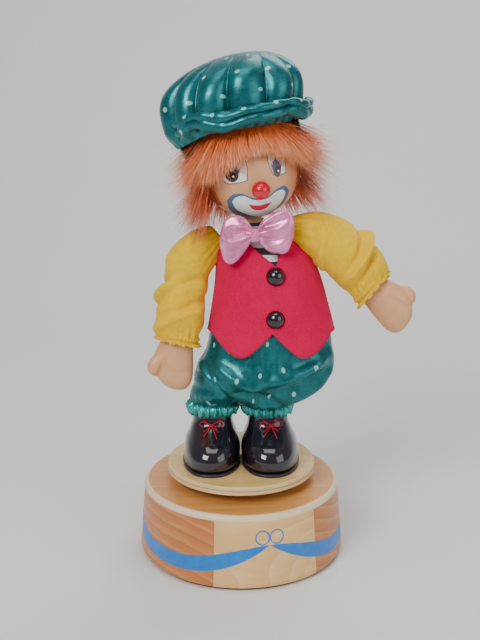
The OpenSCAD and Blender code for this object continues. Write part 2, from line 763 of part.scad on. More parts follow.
button_rows = [[0.61, 0.888, 11], [0.28, 1.0, 2]];   // height share, depth share, lean of the vest's front

module vest_buttons() {
  color("black") at_waist() for (b = button_rows)
    translate([1.4, -(chest_ry * b[1] + vest_gap + vest_t + 0.25), b[0] * chest_h]) rotate([-b[2], 0, 0])
      dome(button_r, 0.3);
}

bow_c = [neck_axis[0] + 1.4 - waist[0], -17.2, chest_h * 0.935];   // the knot, from the waist

module bow_knot() {
  color("pink") at_waist() translate(bow_c) rotate([90, 0, 0])
    cylinder(r = 2.6, h = 4.4, center = true, $fn = 32);
}

module bow_tie() {
  color("pink") at_waist() translate(bow_c) for (s = [-1, 1])
    skin([for (k = [[2.9, 2, 1.2, 0], [7, 5.2, 2, s > 0 ? 0.2 : -1.6], [12, 7.2, 2.1, s > 0 ? 0 : -3.2],
                    [15.2, 6.4, 1.2, s > 0 ? -0.6 : -4.2]])
      let (ring = [for (i = [0:soft_fn - 1]) let (a = 360 * i / soft_fn)
        [s * k[0], -0.4 + k[2] * sin(a), k[3] + k[1] * cos(a)]])
      s > 0 ? [for (i = [soft_fn - 1:-1:0]) ring[i]] : ring]);
}

// A peg with a flange that the hollow head snaps over
module neck_plug() {
  color("tan") translate([neck_axis[0], neck_axis[1], waist[2] + chest_h - 13.6]) {
    cylinder(r = neck_r - 0.5, h = 19.5, $fn = 48);
    translate([0, 0, 19.4]) cylinder(r = neck_r + 1, h = 1.4, $fn = 48);
  }
}

// ---------- arms ----------

function arm_radii(side) = side == 0 ? [0.86, 1.12, 1.26, 1.2, 1.0] : [0.86, 0.95, 1.04, 1.05, 0.99];

module sleeve(side) {
  s = side == 0 ? shoulder_l : shoulder_r_pos;
  c = side == 0 ? cuff_l : cuff_r;
  r = arm_radii(side);
  bow = side == 0 ? [3, 0, 4] : [2.2, 0, 0];
  color("khaki") soft() difference() {
    union() {
      translate(s) sphere(r = shoulder_r, $fn = soft_fn);
      skin([for (k = [0:4])
        let (t = [0.18, 0.42, 0.66, 0.86, 0.97][k], p = s + (c - s) * t + bow * sin(180 * t))
        turned_ring(p, c - s, shoulder_r * r[k], shoulder_r * r[k] * 0.92)]);
    }
    wire_path(side, wire_r + 0.25);
  }
}

// Angles that turn +Z along the arm from the shoulder to the cuff
function arm_angles(side) =
  let (d = (side == 0 ? cuff_l - shoulder_l : cuff_r - shoulder_r_pos), w = d / norm(d))
  [0, acos(w[2]), atan2(w[1], w[0])];

module at_cuff(side) {
  translate(side == 0 ? cuff_l : cuff_r) rotate(arm_angles(side)) children();
}

module wire_path(side, r) {
  s = side == 0 ? shoulder_l : shoulder_r_pos;
  c = side == 0 ? cuff_l : cuff_r;
  translate(s) rotate(arm_angles(side)) cylinder(r = r, h = norm(c - s) + 9, $fn = 24);
}

module arm_wire(side) {
  color("silver") wire_path(side, wire_r);
}

module cuff(side) {
  color("khaki") at_cuff(side) difference() {
    translate([0, 0, -0.55]) cylinder(r1 = 9.4, r2 = 8.6, h = 2.6, $fn = 40);
    translate([0, 0, -1]) cylinder(r = 7.4, h = 5, $fn = 40);
  }
}

// A mitten: flat palm, blunt fingers and a thumb along one side
module hand(side) {
  m = side == 0 ? 1 : -1;
  lean = side == 0 ? 6 : 1;
  color("bisque") at_cuff(side) difference() {
    soft() union() {
      skin([for (k = [[-0.4, 6.6, 5.4, 0], [3, 7, 5.6, 0], [8, 8.8, 5.8, 0.3], [13, 9.7, 5.6, 0.6],
                      [18, 9.2, 5, 0.9], [21.5, 7.2, 3.8, 1.2], [23.4, 4, 2, 1.3]])
        oval_ring(k[0], k[3] * lean * 0.3, 0, k[1], k[2])]);
    }
    translate([0, 0, -1]) cylinder(r = wire_r + 0.1, h = 11, $fn = 24);
  }
}

// ---------- head ----------

module at_head(turn = head_turn_rest) {
  translate(head_c) rotate([0, -head_tilt, 0]) rotate(turn) children();
}

head_sections = [
  [-0.98, 0.26, 0.28], [-0.9, 0.5, 0.52], [-0.72, 0.76, 0.76], [-0.45, 0.92, 0.92], [-0.1, 1, 1],
  [0.25, 1, 1], [0.6, 0.86, 0.88], [0.85, 0.6, 0.62], [1.0, 0.28, 0.3]];

module head_form(grow = 0) {
  skin([for (s = head_sections)
    oval_ring(s[0] * (head_r + grow), 0, 0, s[1] * head_r + grow, s[2] * head_r + grow)]);
}

head_wall = 2.2;

module head() {
  color("bisque") soft() difference() {
    at_head() head_form();
    at_head() head_form(-head_wall);
    neck_hole(neck_r - 0.5 + clearance);
  }
}

module nose() {
  color("red") at_head() translate([0, -head_r - 0.1, -3.6]) dome(nose_r, -0.7);
}

wig_low = -15;

module wig_form(grow = 0) {
  r = head_r + wig_t + grow;
  skin([for (s = [[wig_low / head_r, 0.9], [-0.4, 0.98], [0, 1], [0.4, 0.96], [0.8, 0.84], [1.15, 0.6]])
    oval_ring(s[0] * head_r + (s[0] > 1 ? grow : 0), 0.5, 2, r * s[1], (r - 3) * s[1])]);
}

module wig() {
  color("coral") at_head() soft() difference() {
    wig_form();
    head_form(clearance);
    translate([0, -head_r, -9]) cube([head_r * 1.66, head_r * 2, 35], center = true);
    translate([0, 0, -26]) cylinder(r = head_r * 0.9, h = 14, $fn = 24);
  }
}

cap_tilt = 9.5;

module at_cap() {
  translate(head_c + [-3.8, 3, head_r + 3.6]) rotate([-5, -cap_tilt, 0]) children();
}

module cap_form() {
  r = head_r + 12;
  skin([for (k = [[-5, -6, 0.84, 0.86], [0, -5.5, 0.98, 0.9], [7, -5, 1.02, 0.94], [14, -3.5, 0.95, 0.9],
                  [20, -1, 0.79, 0.76], [25, 2, 0.5, 0.5], [27.6, 4, 0.16, 0.16]])
    oval_ring(k[0], k[1], 3, r * k[2], r * k[3])]);
}

module cap_crown() {
  color("teal") soft() difference() {
    at_cap() cap_form();
    at_head() wig_form(clearance);
    at_cap() brim_form(clearance);
  }
}

// A soft roll round the front and sides of the cap
module brim_form(grow = 0) {
  r = head_r + 10;
  translate([-0.5, -1, -3 - grow]) difference() {
    scale([1, 0.9, 1]) cylinder(r1 = r + 1.2 + grow, r2 = r + grow, h = 5.6 + 2 * grow, $fn = 48);
    scale([1, 0.9, 1]) translate([0, 0, -1]) cylinder(r = r - 6 - grow, h = 10, $fn = 48);
    translate([-50, 14, -1]) cube([100, 50, 20]);
  }
}

module cap_brim() {
  color("teal") soft() difference() {
    at_cap() brim_form();
    at_head() wig_form(clearance);
  }
}

// ---------- nodes ----------

drum();
drum_lid();
felt_ring();
bottom_board();
board_screws();
key_bush();
bedplate();
bedplate_screws();
bearings();
comb();
comb_block();
comb_screws();
governor_bracket();
winding_key();
winding_arbor();
clutch_spring();
spring_barrel();
barrel_lid();
mainspring();
spindle_nut();
cylinder_barrel();  // cylinder
cylinder_shaft();
cylinder_pinion();
cylinder_gear();
governor_wheel();
governor_pinion();
worm();
worm_shaft();
fan();
disc_hub();
hub_screws();
turning_disc();
shoe_screws();
soles();
shoe(0);  // shoe_left
shoe(1);  // shoe_right
laces();
leg_dowels();
trousers();
trouser_frills();
striped_shirt();
vest();
vest_buttons();
bow_tie();
bow_knot();
neck_plug();
sleeve(0);  // sleeve_left
cuff(0);  // cuff_left
hand(0);  // hand_left
arm_wire(0);  // arm_wire_left
sleeve(1);  // sleeve_right
cuff(1);  // cuff_right
hand(1);  // hand_right
arm_wire(1);  // arm_wire_right
head();
nose();
wig();
cap_crown();
cap_brim();
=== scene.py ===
"""Looks of a wind-up musical clown: painted wood drum, cloth clothes, fur wig and satin cap."""

import json
import math

import bpy
import numpy as np
from mathutils import Matrix, Vector
from mathutils.bvhtree import BVHTree


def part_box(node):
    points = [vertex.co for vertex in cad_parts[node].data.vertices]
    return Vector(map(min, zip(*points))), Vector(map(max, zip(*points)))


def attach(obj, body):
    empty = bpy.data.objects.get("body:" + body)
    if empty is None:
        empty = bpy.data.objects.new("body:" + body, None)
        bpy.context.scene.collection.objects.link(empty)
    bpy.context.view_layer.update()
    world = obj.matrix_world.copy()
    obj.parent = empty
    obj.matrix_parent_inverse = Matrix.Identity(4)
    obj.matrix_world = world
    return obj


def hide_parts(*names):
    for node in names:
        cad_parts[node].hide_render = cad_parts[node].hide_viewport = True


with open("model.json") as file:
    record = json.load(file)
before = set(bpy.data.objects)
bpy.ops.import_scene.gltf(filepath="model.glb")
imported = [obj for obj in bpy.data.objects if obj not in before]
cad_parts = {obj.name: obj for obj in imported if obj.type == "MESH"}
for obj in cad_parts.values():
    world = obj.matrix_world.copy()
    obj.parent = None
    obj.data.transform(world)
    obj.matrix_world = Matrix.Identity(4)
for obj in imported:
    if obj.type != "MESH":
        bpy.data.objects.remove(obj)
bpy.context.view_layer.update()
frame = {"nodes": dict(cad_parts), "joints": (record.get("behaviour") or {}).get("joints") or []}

bl_info = {
    "name": "Musical clown on a wooden drum",
    "version": (1, 0, 0),
    "blender": (4, 5, 0),
    "location": "View3D > Sidebar > Clown",
    "description": "Dresses the clown's frame in wood, cloth, fur, vinyl and satin",
    "category": "Add Mesh",
}

MM = 0.001


# ---------- places taken from the frame, in millimetres ----------


def box(node):
    """Lowest and highest corner of a frame node, in millimetres."""
    low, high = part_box(node)
    return np.array(low) * 1000, np.array(high) * 1000


def middle(node):
    low, high = box(node)
    return (low + high) / 2


def joint_place(name):
    """Where a joint of the frame turns, in millimetres."""
    for joint in frame["joints"]:
        if joint["name"] == name:
            return np.array(joint["pos_m"]) * 1000
    raise ValueError("no joint " + name)


SHIRT_LOW, SHIRT_HIGH = box("striped_shirt")
CHEST_H = (SHIRT_HIGH[2] - SHIRT_LOW[2]) / 1.06
CHEST_RX = (SHIRT_HIGH[0] - SHIRT_LOW[0]) / 2
CHEST_RY = (SHIRT_HIGH[1] - SHIRT_LOW[1]) / 2
WAIST = np.array([SHIRT_LOW[0] + CHEST_RX, middle("striped_shirt")[1], SHIRT_LOW[2] + 0.07 * CHEST_H])
NECK = middle("neck_plug")
SWAY = WAIST[0] - NECK[0]
HEAD = np.array([NECK[0], middle("head")[1], middle("head")[2]])
HEAD_R = (box("head")[1][2] - box("head")[0][2]) / 2
DISC_LOW, DISC_HIGH = box("turning_disc")
DRUM_LOW, DRUM_HIGH = box("drum")
LID_HIGH = box("drum_lid")[1]
DRUM_R = DRUM_HIGH[0]
LID_R = box("drum_lid")[1][0]

# height share, width share, depth share of the stuffed body
BODY_ROWS = [
    (-0.07, 1.0, 1.0), (0.14, 0.985, 1.0), (0.30, 0.915, 0.99), (0.48, 0.83, 0.95), (0.62, 0.765, 0.87),
    (0.75, 0.70, 0.75), (0.86, 0.56, 0.60), (0.94, 0.34, 0.46), (0.99, 0.27, 0.40),
]


# ---------- sizes and colours a user may change ----------


def colour_prop(name, description, value):
    return bpy.props.FloatVectorProperty(
        name=name, description=description, subtype="COLOR", size=3, min=0, max=1, default=value
    )


def size_prop(name, description, value, low, high):
    return bpy.props.FloatProperty(
        name=name, description=description + ", in millimetres", default=value, min=low, max=high
    )


class ClownColours(bpy.types.PropertyGroup):
    """Colours of the clown and its drum."""

    satin: colour_prop("Satin", "Green satin of the cap and trousers", (0.0, 0.135, 0.145))
    dots: colour_prop("Dots", "Pale dots printed on the satin", (0.30, 0.62, 0.56))
    vest: colour_prop("Vest", "Felt of the vest", (0.62, 0.0, 0.062))
    shirt: colour_prop("Shirt", "Yellow cotton of the sleeves", (0.86, 0.53, 0.0))
    ribbon: colour_prop("Ribbon", "Pink satin of the bow tie", (0.82, 0.24, 0.47))
    fur: colour_prop("Fur", "Orange fur of the wig", (0.90, 0.17, 0.022))
    skin: colour_prop("Skin", "Vinyl of the head and hands", (0.68, 0.34, 0.165))
    shoe: colour_prop("Shoes", "Moulded shoes", (0.012, 0.007, 0.013))
    laces: colour_prop("Laces", "Cord of the laces", (0.42, 0.005, 0.02))
    swag: colour_prop("Swags", "Blue paint on the drum", (0.0, 0.185, 0.60))
    dark_wood: colour_prop("Dark wood", "Warm blocks of the drum", (0.56, 0.175, 0.032))
    light_wood: colour_prop("Light wood", "Pale blocks of the drum", (0.80, 0.47, 0.17))


class ClownSizes(bpy.types.PropertyGroup):
    """Sizes of details that the frame doesn't set."""

    dot_r: size_prop("Dot radius", "Half the size of a printed dot", 0.95, 0.4, 2.0)
    dot_gap: size_prop("Dot spacing", "Distance between dots", 13.0, 6.0, 20.0)
    stripe: size_prop("Stripe", "Height of one stripe of the shirt front", 2.9, 1.5, 5.0)
    thread: size_prop("Thread", "Distance between threads of the yellow cotton", 0.62, 0.3, 1.2)
    strand: size_prop("Strand", "Length of the wig's fur", 21.0, 8.0, 28.0)
    strand_w: size_prop("Strand width", "Width of one strand of fur at its root", 0.3, 0.1, 0.6)
    head_tilt: bpy.props.FloatProperty(
        name="Head tilt", description="How far the head leans to its side", subtype="ANGLE",
        default=math.radians(9), min=0, max=math.radians(20),
    )
    head_turn: bpy.props.FloatProperty(
        name="Head turn", description="How far the head looks to its side", subtype="ANGLE",
        default=math.radians(11), min=-math.radians(30), max=math.radians(30),
    )


def colours():
    return bpy.context.scene.clown_colours


def sizes():
    return bpy.context.scene.clown_sizes


# ---------- shapes ----------


def grid_faces(rows, cols, around=False, looped=False):
    """Quads between the points of a grid. around joins each row's ends; looped joins last row to first."""
    faces = []
    for j in range(rows if looped else rows - 1):
        for i in range(cols if around else cols - 1):
            k, up = (i + 1) % cols, (j + 1) % rows
            faces.append((j * cols + i, j * cols + k, up * cols + k, up * cols + i))
    return faces


def piece(name, points, faces, finish, body, slot, replaces=(), cloth=None, smooth=True):
    """A mesh piece from millimetre points. cloth holds each point's place on the flat cloth."""
    mesh = bpy.data.meshes.new(name)
    mesh.from_pydata([tuple(p) for p in np.asarray(points, float) * MM], [], faces)
    mesh.validate()
    made = bpy.data.objects.new(name, mesh)
    bpy.context.scene.collection.objects.link(made)
    mesh.materials.append(finish)
    mesh.polygons.foreach_set("use_smooth", [smooth] * len(mesh.polygons))
    if cloth is not None:
        lay_cloth(made, cloth)
    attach(made, body)
    if replaces:
        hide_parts(*replaces)
    return made


def lay_cloth(made, places):
    """Stores each point's place on the flat cloth, in metres, for weaves, stripes and dots."""
    places = np.asarray(places, float)
    flat = np.zeros((len(places), 3), np.float32)
    flat[:, : places.shape[1]] = places * MM
    attribute = made.data.attributes.new("cloth", "FLOAT_VECTOR", "POINT")
    attribute.data.foreach_set("vector", flat.ravel())


def grid_piece(name, grid, finish, body, slot, around=False, looped=False, ends="", cloth=None, **more):
    """A piece from a grid of points, rows by columns. ends may name "first" and "last" rows to close."""
    rows, cols = grid.shape[:2]
    points = grid.reshape(-1, 3)
    faces = grid_faces(rows, cols, around, looped)
    places = None if cloth is None else cloth.reshape(len(points), -1)
    for word, ring, turn in (("first", 0, 1), ("last", rows - 1, -1)):
        if word in ends:
            start, middle_at = ring * cols, len(points)
            points = np.vstack([points, grid[ring].mean(0)])
            if places is not None:
                places = np.vstack([places, cloth[ring].reshape(cols, -1).mean(0)])
            for i in range(cols):
                pair = [start + (i + 1) % cols, start + i][::turn]
                faces.append((pair[0], pair[1], middle_at))
    return piece(name, points, faces, finish, body, slot, cloth=places, **more)


def modifier(made, kind, **settings):
    added = made.modifiers.new(kind.title(), kind)
    for key, value in settings.items():
        setattr(added, key, value)
    return added


def apply_modifiers(made):
    """Turns the piece's modifiers into its own mesh."""
    graph = bpy.context.evaluated_depsgraph_get()
    mesh = bpy.data.meshes.new_from_object(made.evaluated_get(graph), preserve_all_data_layers=True,
                                           depsgraph=graph)
    made.modifiers.clear()
    old = made.data
    made.data = mesh
    bpy.data.meshes.remove(old)


def points_of(made):
    flat = np.zeros(len(made.data.vertices) * 3)
    made.data.vertices.foreach_get("co", flat)
    return flat.reshape(-1, 3) / MM


def move_points(made, points):
    made.data.vertices.foreach_set("co", (np.asarray(points) * MM).ravel())
    made.data.update()


def full_turn(steps):
    """Evenly spaced angles of one whole turn."""
    return np.linspace(0, 2 * math.pi, steps, endpoint=False)


def outward(turn):
    """Level unit directions at the given angles."""
    return np.stack([np.cos(turn), np.sin(turn), 0 * turn], 1)


def rounded(made):
    """Subdivides the piece once."""
    modifier(made, "SUBSURF", levels=1, render_levels=1)
    apply_modifiers(made)


def thicken(made, thickness):
    """Gives a sheet its thickness in millimetres, half to each side."""
    modifier(made, "SOLIDIFY", thickness=thickness * MM, offset=0)
    apply_modifiers(made)


def smoothstep(low, high, x):
    t = np.clip((x - low) / (high - low), 0, 1)
    return t * t * (3 - 2 * t)


def curve_through(xs, ys, x):
    """Smooth values between chosen ones."""
    xs, ys, x = np.array(xs, float), np.array(ys, float), np.asarray(x, float)
    slope = np.gradient(ys, xs)
    at = np.clip(np.searchsorted(xs, x, side="right") - 1, 0, len(xs) - 2)
    h = xs[at + 1] - xs[at]
    t = np.clip((x - xs[at]) / h, 0, 1)
    a = (1 + 2 * t) * (1 - t) ** 2
    b = t * (1 - t) ** 2 * h
    c = t * t * (3 - 2 * t)
    d = t * t * (t - 1) * h
    return a * ys[at] + b * slope[at] + c * ys[at + 1] + d * slope[at + 1]


def crumple(points, size, seed, waves=7):
    """A soft wandering height, about -1 to 1, for points in millimetres."""
    draw = np.random.default_rng(seed)
    total = np.zeros(points.shape[:-1])
    for _ in range(waves):
        way = draw.normal(size=3)
        way /= np.linalg.norm(way)
        bend = draw.normal(size=3)
        bend /= np.linalg.norm(bend)
        warp = 0.9 * np.sin(points @ bend / size * 2.3 + draw.uniform(0, 6.3))
        total += np.sin(points @ way / size * draw.uniform(3.5, 6.5) + warp + draw.uniform(0, 6.3))
    return total / waves * 1.6


def normals_of(made):
    made.data.update()
    flat = np.zeros(len(made.data.vertices) * 3)
    made.data.vertices.foreach_get("normal", flat)
    return flat.reshape(-1, 3)


def along_path(path, radii, around, flat=1.0, twist=0.0, up=(0, 1, 0)):
    """A tube's grid of points round a path. flat squeezes it across; up sets its first side."""
    path = np.asarray(path, float)
    radii = np.broadcast_to(np.asarray(radii, float), (len(path),))
    ways = np.gradient(path, axis=0)
    ways /= np.linalg.norm(ways, axis=1)[:, None]
    side = np.cross(np.asarray(up, float), ways[0])
    side /= np.linalg.norm(side)
    grid = np.zeros((len(path), around, 3))
    turn = full_turn(around)
    for j, way in enumerate(ways):
        side = side - way * (side @ way)
        side /= np.linalg.norm(side)
        other = np.cross(way, side)
        a = turn + twist * j
        grid[j] = path[j] + radii[j] * (np.cos(a)[:, None] * side + flat * np.sin(a)[:, None] * other)
    return grid


def smooth_path(points, steps):
    points = np.asarray(points, float)
    at = np.concatenate([[0], np.cumsum(np.linalg.norm(np.diff(points, axis=0), axis=1))])
    fine = np.linspace(0, at[-1], steps)
    return np.stack([curve_through(at, points[:, k], fine) for k in range(3)], 1)


def settle(made, held, pressure, reach, frames=18, stiffness=12.0, gravity=0.0):
    """Lets the piece's cloth swell and wrinkle.

    held is how firmly each point stays, and reach caps its travel.
    """
    # the cloth solver works on sizes near a metre, so a millimetre doll is enlarged for it
    scale = 12.0
    before = points_of(made)
    trial = bpy.data.objects.new("trial", made.data.copy())
    bpy.context.scene.collection.objects.link(trial)
    trial.data.vertices.foreach_set("co", (before * MM * scale).ravel())
    group = trial.vertex_groups.new(name="held")
    for i, weight in enumerate(held):
        if weight > 0:
            group.add([i], float(weight), "REPLACE")
    cloth = trial.modifiers.new("Cloth", "CLOTH")
    fabric = cloth.settings
    fabric.quality = 6
    fabric.mass = 0.15
    fabric.tension_stiffness = fabric.compression_stiffness = stiffness
    fabric.shear_stiffness = stiffness * 0.5
    fabric.bending_stiffness = 0.4
    fabric.vertex_group_mass = "held"
    fabric.use_pressure = True
    fabric.uniform_pressure_force = pressure
    fabric.effector_weights.gravity = gravity
    scene = bpy.context.scene
    scene.frame_start, scene.frame_end = 1, frames
    cloth.point_cache.frame_start, cloth.point_cache.frame_end = 1, frames
    for step in range(1, frames + 1):
        scene.frame_set(step)
    graph = bpy.context.evaluated_depsgraph_get()
    after = np.zeros(len(before) * 3)
    trial.evaluated_get(graph).data.vertices.foreach_get("co", after)
    travel = after.reshape(-1, 3) / MM / scale - before
    far = np.linalg.norm(travel, axis=1)
    if not np.isfinite(far).all():
        raise ValueError("the cloth of " + made.name + " did not settle")
    travel *= (np.minimum(far, reach) / np.maximum(far, 1e-9))[:, None]
    bpy.data.objects.remove(trial)
    scene.frame_set(1)
    move_points(made, before + travel)


# ---------- finishes ----------


class Finish:
    """A material in the making, with short calls for its nodes."""

    def __init__(self, name, colour, rough, **sockets):
        self.mat = bpy.data.materials.new(name)
        self.mat.use_nodes = True
        self.tree = self.mat.node_tree
        self.shader = self.tree.nodes["Principled BSDF"]
        self.set("Base Color", (*colour, 1))
        self.set("Roughness", rough)
        for key, value in sockets.items():
            self.set(key.replace("_", " "), value)

    def put(self, socket, value):
        if isinstance(value, bpy.types.NodeSocket):
            self.tree.links.new(value, socket)
        elif socket.type == "RGBA" and len(value) == 3:
            socket.default_value = (*value, 1)
        else:
            socket.default_value = value

    def set(self, socket, value):
        self.put(self.shader.inputs[socket], value)

    def add(self, kind, values=(), **settings):
        node = self.tree.nodes.new("ShaderNode" + kind)
        for key, value in settings.items():
            setattr(node, key, value)
        for key, value in dict(values).items():
            self.put(node.inputs[key], value)
        return node

    def calc(self, operation, a, b=0.0, c=0.0):
        return self.add("Math", {0: a, 1: b, 2: c}, operation=operation).outputs[0]

    def mix(self, share, a, b, blend="MIX"):
        node = self.add("Mix", {0: share, 6: a, 7: b}, data_type="RGBA", blend_type=blend)
        return node.outputs[2]

    def place(self):
        return self.add("TexCoord").outputs["Object"]

    def cloth(self):
        return self.add("Attribute", attribute_type="GEOMETRY", attribute_name="cloth").outputs["Vector"]

    def stretch(self, where, scale):
        return self.add("Mapping", {"Vector": where, "Scale": scale}).outputs[0]

    def split(self, where):
        return self.add("SeparateXYZ", {0: where}).outputs

    def noise(self, where, scale, detail=3.0, rough=0.55, warp=0.0):
        values = {"Vector": where, "Scale": scale, "Detail": detail, "Roughness": rough, "Distortion": warp}
        return self.add("TexNoise", values).outputs["Fac"]

    def ramp(self, share, stops):
        node = self.add("ValToRGB", {0: share})
        marks = node.color_ramp.elements
        while len(marks) < len(stops):
            marks.new(0.5)
        for mark, (at, colour) in zip(marks, stops):
            mark.position = at
            mark.color = (*colour, 1) if hasattr(colour, "__len__") else (colour, colour, colour, 1)
        return node.outputs[0]

    def bump(self, height, strength, depth_mm):
        node = self.add("Bump", {"Height": height, "Strength": strength, "Distance": depth_mm * MM})
        if self.shader.inputs["Normal"].is_linked:
            self.put(node.inputs["Normal"], self.shader.inputs["Normal"].links[0].from_socket)
        self.set("Normal", node.outputs[0])

    def vary(self, share, colour, darker, lighter):
        """Base colour that wanders between two strengths of itself."""
        low = tuple(c * darker for c in colour)
        high = tuple(min(1, c * lighter) for c in colour)
        self.set("Base Color", self.ramp(share, [(0.3, low), (0.7, high)]))


def dot_mask(f, where):
    """Ovals in staggered rows on the cloth."""
    gap, r = sizes().dot_gap * MM, sizes().dot_r * MM
    x, y, _ = f.split(where)
    row = f.calc("FLOOR", f.calc("DIVIDE", y, gap))
    shift = f.calc("MULTIPLY", f.calc("MODULO", f.calc("ABSOLUTE", row), 2.0), gap / 2)
    along = f.calc("ADD", x, f.calc("ADD", shift, f.calc("MULTIPLY", row, gap * 0.13)))
    dx = f.calc("SUBTRACT", f.calc("FRACT", f.calc("DIVIDE", along, gap)), 0.5)
    dy = f.calc("SUBTRACT", f.calc("FRACT", f.calc("DIVIDE", y, gap)), 0.5)
    dy = f.calc("MULTIPLY", dy, 0.78)
    away = f.calc("SQRT", f.calc("ADD", f.calc("MULTIPLY", dx, dx), f.calc("MULTIPLY", dy, dy)))
    edge = r / gap
    fade = f.add("MapRange", {0: away, 1: edge * 0.85, 2: edge * 1.1, 3: 1.0, 4: 0.0})
    return fade.outputs[0]


def satin(name, colour, dots=False):
    """Satin: a fine diagonal twill with a broad coloured gleam."""
    f = Finish(name, colour, 0.30, Metallic=0.55)
    where = f.cloth()
    wander = f.noise(where, 130.0, 4.0)
    low, high = tuple(c * 0.72 for c in colour), tuple(min(1, c * 1.3 + 0.01) for c in colour)
    tone = f.ramp(wander, [(0.3, low), (0.72, high)])
    if dots:
        mask = dot_mask(f, where)
        tone = f.mix(f.calc("MULTIPLY", mask, 0.9), tone, tuple(colours().dots))
        f.set("Metallic", f.calc("SUBTRACT", 0.55, f.calc("MULTIPLY", mask, 0.4)))
    f.set("Base Color", tone)
    threads = f.add("TexWave", {"Vector": where, "Scale": 900.0, "Distortion": 0.6, "Detail": 1.0},
                    wave_type="BANDS", bands_direction="DIAGONAL")
    f.set("Roughness", f.ramp(f.noise(where, 420.0, 3.0), [(0.3, 0.23), (0.7, 0.38)]))
    f.bump(threads.outputs["Fac"], 0.25, 0.03)
    f.bump(f.noise(where, 260.0, 5.0), 0.35, 0.22)
    return f.mat


def woven(name, colour, thread, depth=0.09):
    """Plain woven cotton: crossing threads with uneven slubs. The raised crossings are painted paler and the
    gaps between threads darker: painted light and shade of the weave.
    """
    f = Finish(name, colour, 0.86, Sheen_Weight=0.08, Sheen_Roughness=0.6, Specular_IOR_Level=0.2)
    where = f.cloth()
    x, y, _ = f.split(where)
    turns = 2 * math.pi / (thread * MM)
    warp = f.calc("SINE", f.calc("MULTIPLY", x, turns))
    weft = f.calc("SINE", f.calc("MULTIPLY", y, turns))
    cross = f.calc("MULTIPLY", warp, weft)
    height = f.calc("ADD", f.calc("MULTIPLY", cross, 0.5), 0.5)
    slub = f.noise(f.stretch(where, (1.0, 2.5, 1.0)), 260.0, 3.0)
    fibre = f.noise(where, 2300.0, 2.0)
    # colour follows the thread height: paler on the raised crossings and darker in the gaps, painted light
    # and shade of the weave; the slub noise is an uneven tone of the yarn
    share = f.calc("ADD", f.calc("MULTIPLY", height, 0.6), f.calc("MULTIPLY", slub, 0.4))
    low = tuple(c * 0.60 for c in colour)
    high = (min(1, colour[0] * 1.12), min(1, colour[1] * 1.18), min(1, colour[2] * 1.6))
    f.set("Base Color", f.ramp(share, [(0.28, low), (0.5, colour), (0.75, high)]))
    f.bump(height, 0.8, depth)
    f.bump(fibre, 0.3, 0.04)
    return f.mat


def felt(name, colour):
    """Felt: matted fibres, a soft nap and a faint press of the cloth under it."""
    f = Finish(name, colour, 0.95, Sheen_Weight=0.06, Sheen_Roughness=0.5, Specular_IOR_Level=0.08)
    where = f.place()
    fine = f.noise(where, 1500.0, 5.0, 0.7)
    broad = f.noise(where, 60.0, 3.0)
    share = f.calc("ADD", f.calc("MULTIPLY", fine, 0.6), f.calc("MULTIPLY", broad, 0.4))
    f.vary(share, colour, 0.78, 1.15)
    fibres = f.noise(f.stretch(where, (1.0, 1.0, 3.0)), 900.0, 4.0, 0.65, 1.2)
    f.bump(fine, 0.5, 0.12)
    f.bump(fibres, 0.45, 0.15)
    return f.mat


def vinyl(name, colour):
    """Soft doll vinyl: even, slightly waxy, with a faint mottle."""
    f = Finish(name, colour, 0.42, Coat_Weight=0.12, Coat_Roughness=0.35, Subsurface_Weight=0.08,
               Subsurface_Scale=0.002)
    where = f.place()
    f.vary(f.noise(where, 90.0, 4.0), colour, 0.93, 1.06)
    f.set("Roughness", f.ramp(f.noise(where, 500.0, 3.0), [(0.3, 0.36), (0.7, 0.5)]))
    f.bump(f.noise(where, 1400.0, 2.0), 0.12, 0.04)
    return f.mat


def paint(name, colour, rough=0.35):
    """Brushed-on paint with a slightly uneven film."""
    f = Finish(name, colour, rough, Coat_Weight=0.2, Coat_Roughness=0.25)
    where = f.place()
    f.vary(f.noise(where, 240.0, 4.0), colour, 0.88, 1.08)
    f.bump(f.noise(where, 900.0, 3.0), 0.15, 0.03)
    return f.mat


def gloss(name, colour, rough=0.08):
    """Moulded glossy plastic with light scuffs."""
    f = Finish(name, colour, rough, Coat_Weight=0.6, Coat_Roughness=0.04)
    where = f.place()
    scuffs = f.noise(f.stretch(where, (1.0, 1.0, 5.0)), 420.0, 5.0, 0.7)
    f.set("Roughness", f.ramp(scuffs, [(0.4, rough), (0.8, rough + 0.16)]))
    f.vary(f.noise(where, 70.0, 3.0), colour, 0.8, 1.25)
    f.bump(f.noise(where, 55.0, 2.0), 0.12, 0.3)
    return f.mat


def metal(name, colour, rough=0.3, grain=(1.0, 1.0, 12.0)):
    f = Finish(name, colour, rough, Metallic=1.0)
    where = f.place()
    lines = f.noise(f.stretch(where, grain), 700.0, 4.0, 0.6)
    f.set("Roughness", f.ramp(lines, [(0.3, rough * 0.7), (0.7, min(1.0, rough * 1.5))]))
    f.vary(f.noise(where, 150.0, 3.0), colour, 0.82, 1.08)
    f.bump(lines, 0.15, 0.03)
    return f.mat


def plain(name, colour, rough, scale=600.0, depth=0.08):
    """Matt stock such as nylon, board or cord, with its own fine grain."""
    f = Finish(name, colour, rough)
    where = f.place()
    share = f.noise(where, scale, 4.0, 0.65)
    f.vary(share, colour, 0.8, 1.15)
    f.bump(share, 0.4, depth)
    return f.mat


def lacquered(f):
    for socket, value in (("Coat Weight", 0.35), ("Coat Roughness", 0.22)):
        f.set(socket, value)


def grain(f, where, fine, lean, at=(0.0, 0.0, 0.0)):
    """Wood figure, each part from 0 to 1: year rings round a leaning pith, and fine pores."""
    placed = f.add("Mapping", {"Vector": where, "Location": at, "Rotation": lean}).outputs[0]
    values = {"Vector": placed, "Scale": 62.0, "Distortion": 3.2, "Detail": 2.0, "Detail Scale": 0.35}
    rings = f.add("TexWave", values, wave_type="RINGS", rings_direction="Z",
                  wave_profile="SAW").outputs["Fac"]
    pores = f.noise(f.stretch(where, fine), 420.0, 4.0, 0.6)
    return rings, pores


